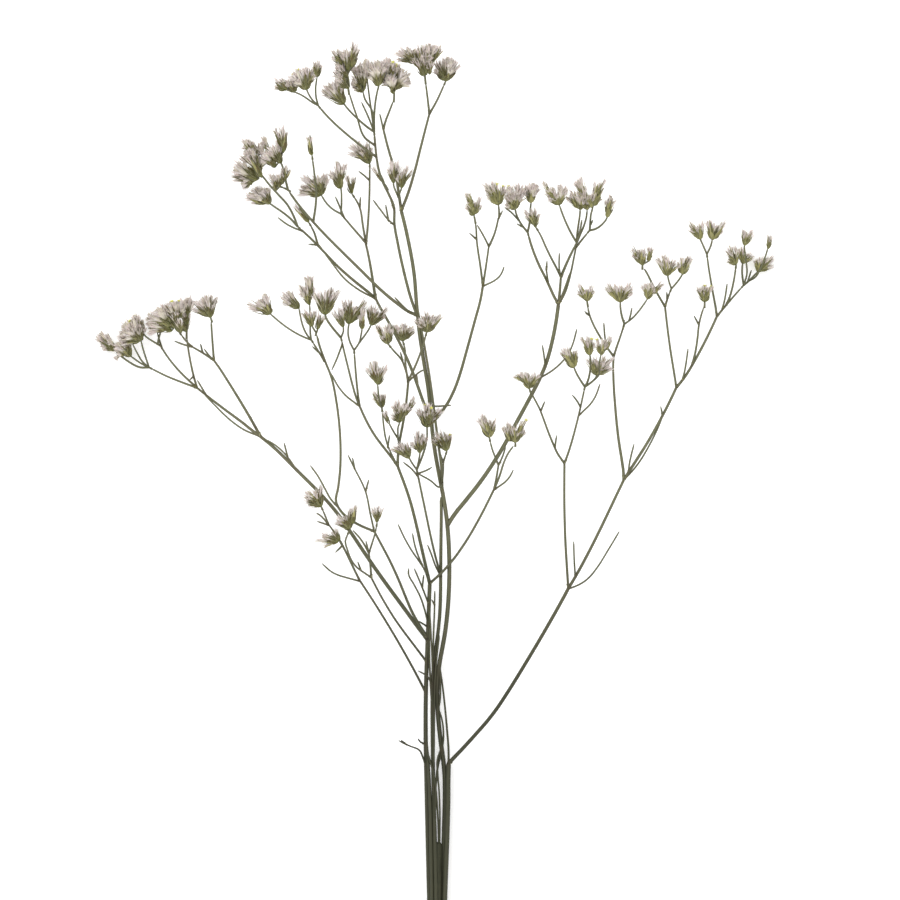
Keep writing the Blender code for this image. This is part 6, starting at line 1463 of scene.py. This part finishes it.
def parent_direction(branch):
    """Which way the parent runs where the branch leaves it."""
    line = branch.parent.line
    nearest = min(range(len(line) - 1),
                  key=lambda at: ((line[at] + line[at + 1]) / 2 - branch.line[0]).length)
    return (line[nearest + 1] - line[nearest]).normalized()


TO_FRAME = Matrix.Translation(DRAWING_TO_FRAME * MM) @ Matrix.Scale(MM, 4)
chance = random.Random(SCALE_SEED)
form = bmesh.new()
form.verts.layers.float_vector.new("leaf")
scales = 0
for branch in branches:
    if branch.parent and branch.node == "stem":
        axis = (branch.line[1] - branch.line[0]).normalized()
        outward = axis - parent_direction(branch)
        if outward.length < 0.05:
            outward = Vector((0, 0, 1))
        turn = Matrix.Rotation(math.radians(chance.uniform(-70, 70)), 3, axis)
        matrix = frame_along(axis, turn @ outward, branch.line[0] - axis * SCALE_SINK)
        girth = branch.thick[0] / SIDE[0] * chance.uniform(1.0, 1.2)
        size = Matrix.Diagonal((girth, girth, chance.uniform(0.7, 1.15), 1))
        stamp(form, scale_leaf, TO_FRAME @ matrix @ size, chance.uniform(0.3, 1.0))
        scales += 1
fork_scales = finish_piece("fork_scales", form, [stem_finish, bract_finish])
print(scales, "scales,", len(fork_scales.data.polygons), "faces")

# %% [markdown]
# ## One bud
#
# A bud is built round its own axis, from its foot to its tip. Two short outer bracts clasp the foot,
# and four long ones stand inside them and close to a point, straw-coloured and dark by turns. Thin
# awns stick out like bristles. A papery cup rises out of the middle, and slips of withered petal
# fray out between the bracts and end in wisps at the top. An open bud has shorter bracts, and more
# paper that spreads wider. Every shape is turned, tilted and sized by a seeded draw, so no two buds
# are alike and every run gives the same spray.

# %% Bud
BUD_LENGTH = 7.2
INNER_BRACTS = 4
AWNS = 2
WISPS = 3
# The draws of a bract's length, as shares of the shape's own.
OUTER_REACH = (0.75, 1.2)
INNER_REACH = (0.75, 1.08)
AWN_REACH = (0.85, 1.1)


def tilted(turn, tilt, lift, girth, length):
    """Places a blade in a bud: turned round the axis, tilted outwards, lifted and sized."""
    return (Matrix.Rotation(math.radians(turn), 4, "Z")
            @ Matrix.Translation((0, 0, lift))
            @ Matrix.Rotation(math.radians(-tilt), 4, "X")
            @ Matrix.Diagonal((girth, girth, length, 1)))


def bud(form, low, high, size, openness, ages, yellow, chance):
    """Adds one bud between two points of the drawing."""
    axis = high - low
    share = axis.length / BUD_LENGTH
    girth = size * (0.85 + 0.15 * share)
    whole = TO_FRAME @ frame_along(axis, Vector((0, 0, 1)), low)
    whole = whole @ Matrix.Rotation(math.radians(chance.uniform(0, 360)), 4, "Z")
    shorter = 1 - 0.42 * openness
    young, old = ages
    own = bmesh.new()
    leaf_layer = own.verts.layers.float_vector.new("leaf")

    def put(shape, turn, tilt, lift, wide, long, draw):
        matrix = tilted(turn, tilt, lift * share, girth * wide, share * long)
        return stamp(own, shape, whole @ matrix, draw)

    for turn in (20, 200):
        put(outer_bract, turn + chance.uniform(-25, 25), chance.uniform(0, 6), 0, 1,
            chance.uniform(*OUTER_REACH) * shorter, chance.uniform(*old))
    for number in range(INNER_BRACTS):
        put(inner_bract, 360 * number / INNER_BRACTS + chance.uniform(-20, 20),
            chance.uniform(-1, 4) + 8 * openness, 0, chance.uniform(0.75, 1.05),
            chance.uniform(*INNER_REACH) * shorter, chance.uniform(*(old if number % 2 else young)))
    for number in range(AWNS - round(openness)):
        put(awn, chance.uniform(0, 360), chance.uniform(0, 6) + 8 * openness, 0, 1,
            chance.uniform(*AWN_REACH), chance.uniform(*old))
    for number in range(WISPS):
        put(wisp, chance.uniform(0, 360), chance.uniform(0, 8) + 12 * openness, 3.0, 1,
            chance.uniform(0.75, 1.05), chance.random())
    for number in range(1 + round(2 * openness)):
        wide = chance.uniform(1.0, 1.25) + 0.7 * openness
        cup_verts = put(calyx, chance.uniform(0, 360), chance.uniform(0, 4) + 10 * openness * number, 1.7,
                        wide, chance.uniform(0.88, 1.02), chance.random())
        for vert in cup_verts:
            on_rib, height, draw = vert[leaf_layer]
            if height > 0.9 and on_rib > 0.5:
                vert.co += axis.normalized() * chance.uniform(-0.5, 0.8) * share * MM
    for number in range(5 + round(10 * openness)):
        put(petal, chance.uniform(0, 360), chance.uniform(0, 8) + chance.uniform(2, 24) * openness,
            chance.uniform(2.4, 3.7), chance.uniform(0.7, 1.1) + 0.4 * openness, chance.uniform(0.75, 1.05),
            chance.random())
    if yellow:
        for turn in (0, 90, 180, 270):
            matrix = tilted(turn, 30, 5.9 * share, 1, 1) @ Matrix.Translation((0, 0, 0.7))
            stamp(own, anther, whole @ matrix, 0.5)
    mesh = bpy.data.meshes.new("bud")
    own.to_mesh(mesh)
    own.free()
    form.from_mesh(mesh)
    bpy.data.meshes.remove(mesh)


# %% [markdown]
# ## Buds between the drawn ones
#
# Only the buds that can be told apart are drawn. The real head is a fan without gaps: smaller
# buds are pressed against the sides of the big ones, as the florets of a spikelet are, and shorter
# ones stand between two neighbours. Both kinds are worked out from the drawn ones.

# %% More buds
SIDE_BUDS = (1, 1, 2)
# A head with one bud keeps it nearly alone.
LONE_SIDE_BUDS = (0, 1)
SIDE_START = (0.02, 0.25)
SIDE_LEAN = (10, 28)
SIDE_LENGTH = (0.55, 0.85)
SIDE_SIZE = 0.85
# Neighbours whose tips are this far apart get one bud between them, or two past the second value.
GAP_FOR_ONE, GAP_FOR_TWO = 2.6, 6.0
FILL_LENGTH = (0.65, 0.9)


def beside(low, high, chance):
    """A smaller bud's ends, next to a bud's and leaning away from it."""
    axis = high - low
    normal = Vector((chance.uniform(-0.4, 0.4), chance.uniform(-0.4, 0.4), 1)).normalized()
    angle = math.radians(chance.choice((-1, 1)) * chance.uniform(*SIDE_LEAN))
    start = low + axis * chance.uniform(*SIDE_START)
    return start, start + Matrix.Rotation(angle, 3, normal) @ axis * chance.uniform(*SIDE_LENGTH)


def between(spikelets, chance):
    """Shorter spikelets that fill the gaps between a branch's drawn ones, from one side to the other."""
    around = sorted(spikelets, key=lambda one: math.atan2(one[1][0] - one[0][0], one[1][1] - one[0][1]))
    fillers = []
    for one, other in zip(around, around[1:]):
        gap = (Vector(one[1]) - Vector(other[1])).length
        count = 2 if gap > GAP_FOR_TWO else 1 if gap > GAP_FOR_ONE else 0
        for number in range(count):
            share = (number + chance.uniform(0.7, 1.3)) / (count + 1)
            foot = Vector(one[0]).lerp(Vector(other[0]), share)
            tip = Vector(one[1]).lerp(Vector(other[1]), share)
            lean = one[2] + (other[2] - one[2]) * share + chance.uniform(-1.0, 1.0)
            fillers.append((foot, foot.lerp(tip, chance.uniform(*FILL_LENGTH)), lean, SIDE_SIZE))
    return fillers


# %% [markdown]
# ## The heads
#
# Some heads dried wide open and are nearly all white paper, and the rest are half closed. The heads
# on the right are younger, and paler for it. What reaches down to the table is pressed flat against
# it.

# %% Head pieces
OPENNESS = {"crown_head_8": 1.0, "left_head_5": 0.8, "shoulder_head_3": 0.9, "upper_head_3": 0.8,
            "shoulder_head_5": 0.5, "inner_head_2": 0.5, "crown_head_7": 0.4, "upper_head_5": 0.3}
MOST_OPEN = 0.2
# The ages of a head's straw-coloured bracts and of its dark ones.
OLD_AGES = (0.1, 0.45), (0.5, 1.0)
YOUNG_AGES = (0.0, 0.2), (0.15, 0.6)
YOUNG_HEADS = ("right", "front", "upper")
YELLOW_SPOTS = [Vector(spot) for spot in (
    (-50, 333), (-14, 336), (-95, 252), (-111, 246), (-3.3, 216), (7, 206), (32.4, 209),
    (54.8, 240), (97.5, 259), (23.7, 293))]
YELLOW_REACH = 3.0
HEART_DEPTH = 0.25
SESSILE = 2.1
FOOT_LEAN = 0.4
PEDICEL = (0.62, 0.6)
PEDICEL_END = 0.2


def pedicels(branch, chance):
    """The thin stalks of a branch's buds, as runs, and its buds: feet, tips, sizes and openness."""
    heart = branch.tip()
    heart_in = heart - branch.forward() * HEART_DEPTH
    runs = []
    buds = []
    for foot, tip, lean, *unlike in branch.spikelets + between(branch.spikelets, chance):
        low = Vector((*foot, heart.z + lean * FOOT_LEAN))
        high = Vector((*tip, heart.z + lean))
        if (low - heart).length < SESSILE:
            low = heart_in
        else:
            bend = heart + branch.forward() * (low - heart).length * 0.35
            spots = smooth_line([heart_in, bend, low, low.lerp(high, PEDICEL_END)])
            runs.append((spots, widths_along(spots, PEDICEL, 1.0)))
        size, openness = (*unlike, *(1.0, None)[len(unlike):])
        buds.append((low, high, size, openness))
    return runs, buds


head_names = [name for name in dict.fromkeys(branch.node for branch in branches) if name != "stem"]
total_buds = 0
total_faces = 0
for number, name in enumerate(head_names):
    chance = random.Random(number)
    ages = YOUNG_AGES if name.startswith(YOUNG_HEADS) else OLD_AGES
    runs = []
    buds = []
    for branch in (branch for branch in branches if branch.node == name):
        line = branch.line
        if branch.parent.node != name:
            line = [line[0] - branch.forward() * (STALK_GAP + BLUNT_LENGTH), *line[1:]]
        spots = smooth_line(line)
        runs.append((spots, widths_along(spots, branch.thick, 1.0)))
        more_runs, more_buds = pedicels(branch, chance)
        runs += more_runs
        buds += more_buds
    form = tube_form(runs, [])
    form.verts.layers.float_vector.new("leaf")
    for low, high, size, openness in buds:
        yellow = any((high.xy - spot).length < YELLOW_REACH for spot in YELLOW_SPOTS)
        if openness is None:
            openness = OPENNESS.get(name, chance.uniform(0, MOST_OPEN))
        bud(form, low, high, size, openness, ages, yellow, chance)
        for side in range(chance.choice(SIDE_BUDS if len(buds) > 1 else LONE_SIDE_BUDS)):
            bud(form, *beside(low, high, chance), size * SIDE_SIZE, openness, ages, False, chance)
    for vert in form.verts:
        vert.co.z = max(vert.co.z, ON_TABLE)
    piece = finish_piece(name + "_dry", form, head_materials)
    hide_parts(name)
    total_buds += len(buds)
    total_faces += len(piece.data.polygons)
print(len(head_names), "heads,", total_buds, "buds besides the side ones,", total_faces, "faces")

# %% [markdown]
# ## Sizes
#
# The finer spray has to fill the same box as the plain one, so both boxes are written down.

# %% Sizes and finish
visual_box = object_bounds()
for label, low, high in (("cad", *cad_box), ("visual", *visual_box)):
    print(label, [round((b - a) / MM, 1) for a, b in zip(low, high)], "mm")
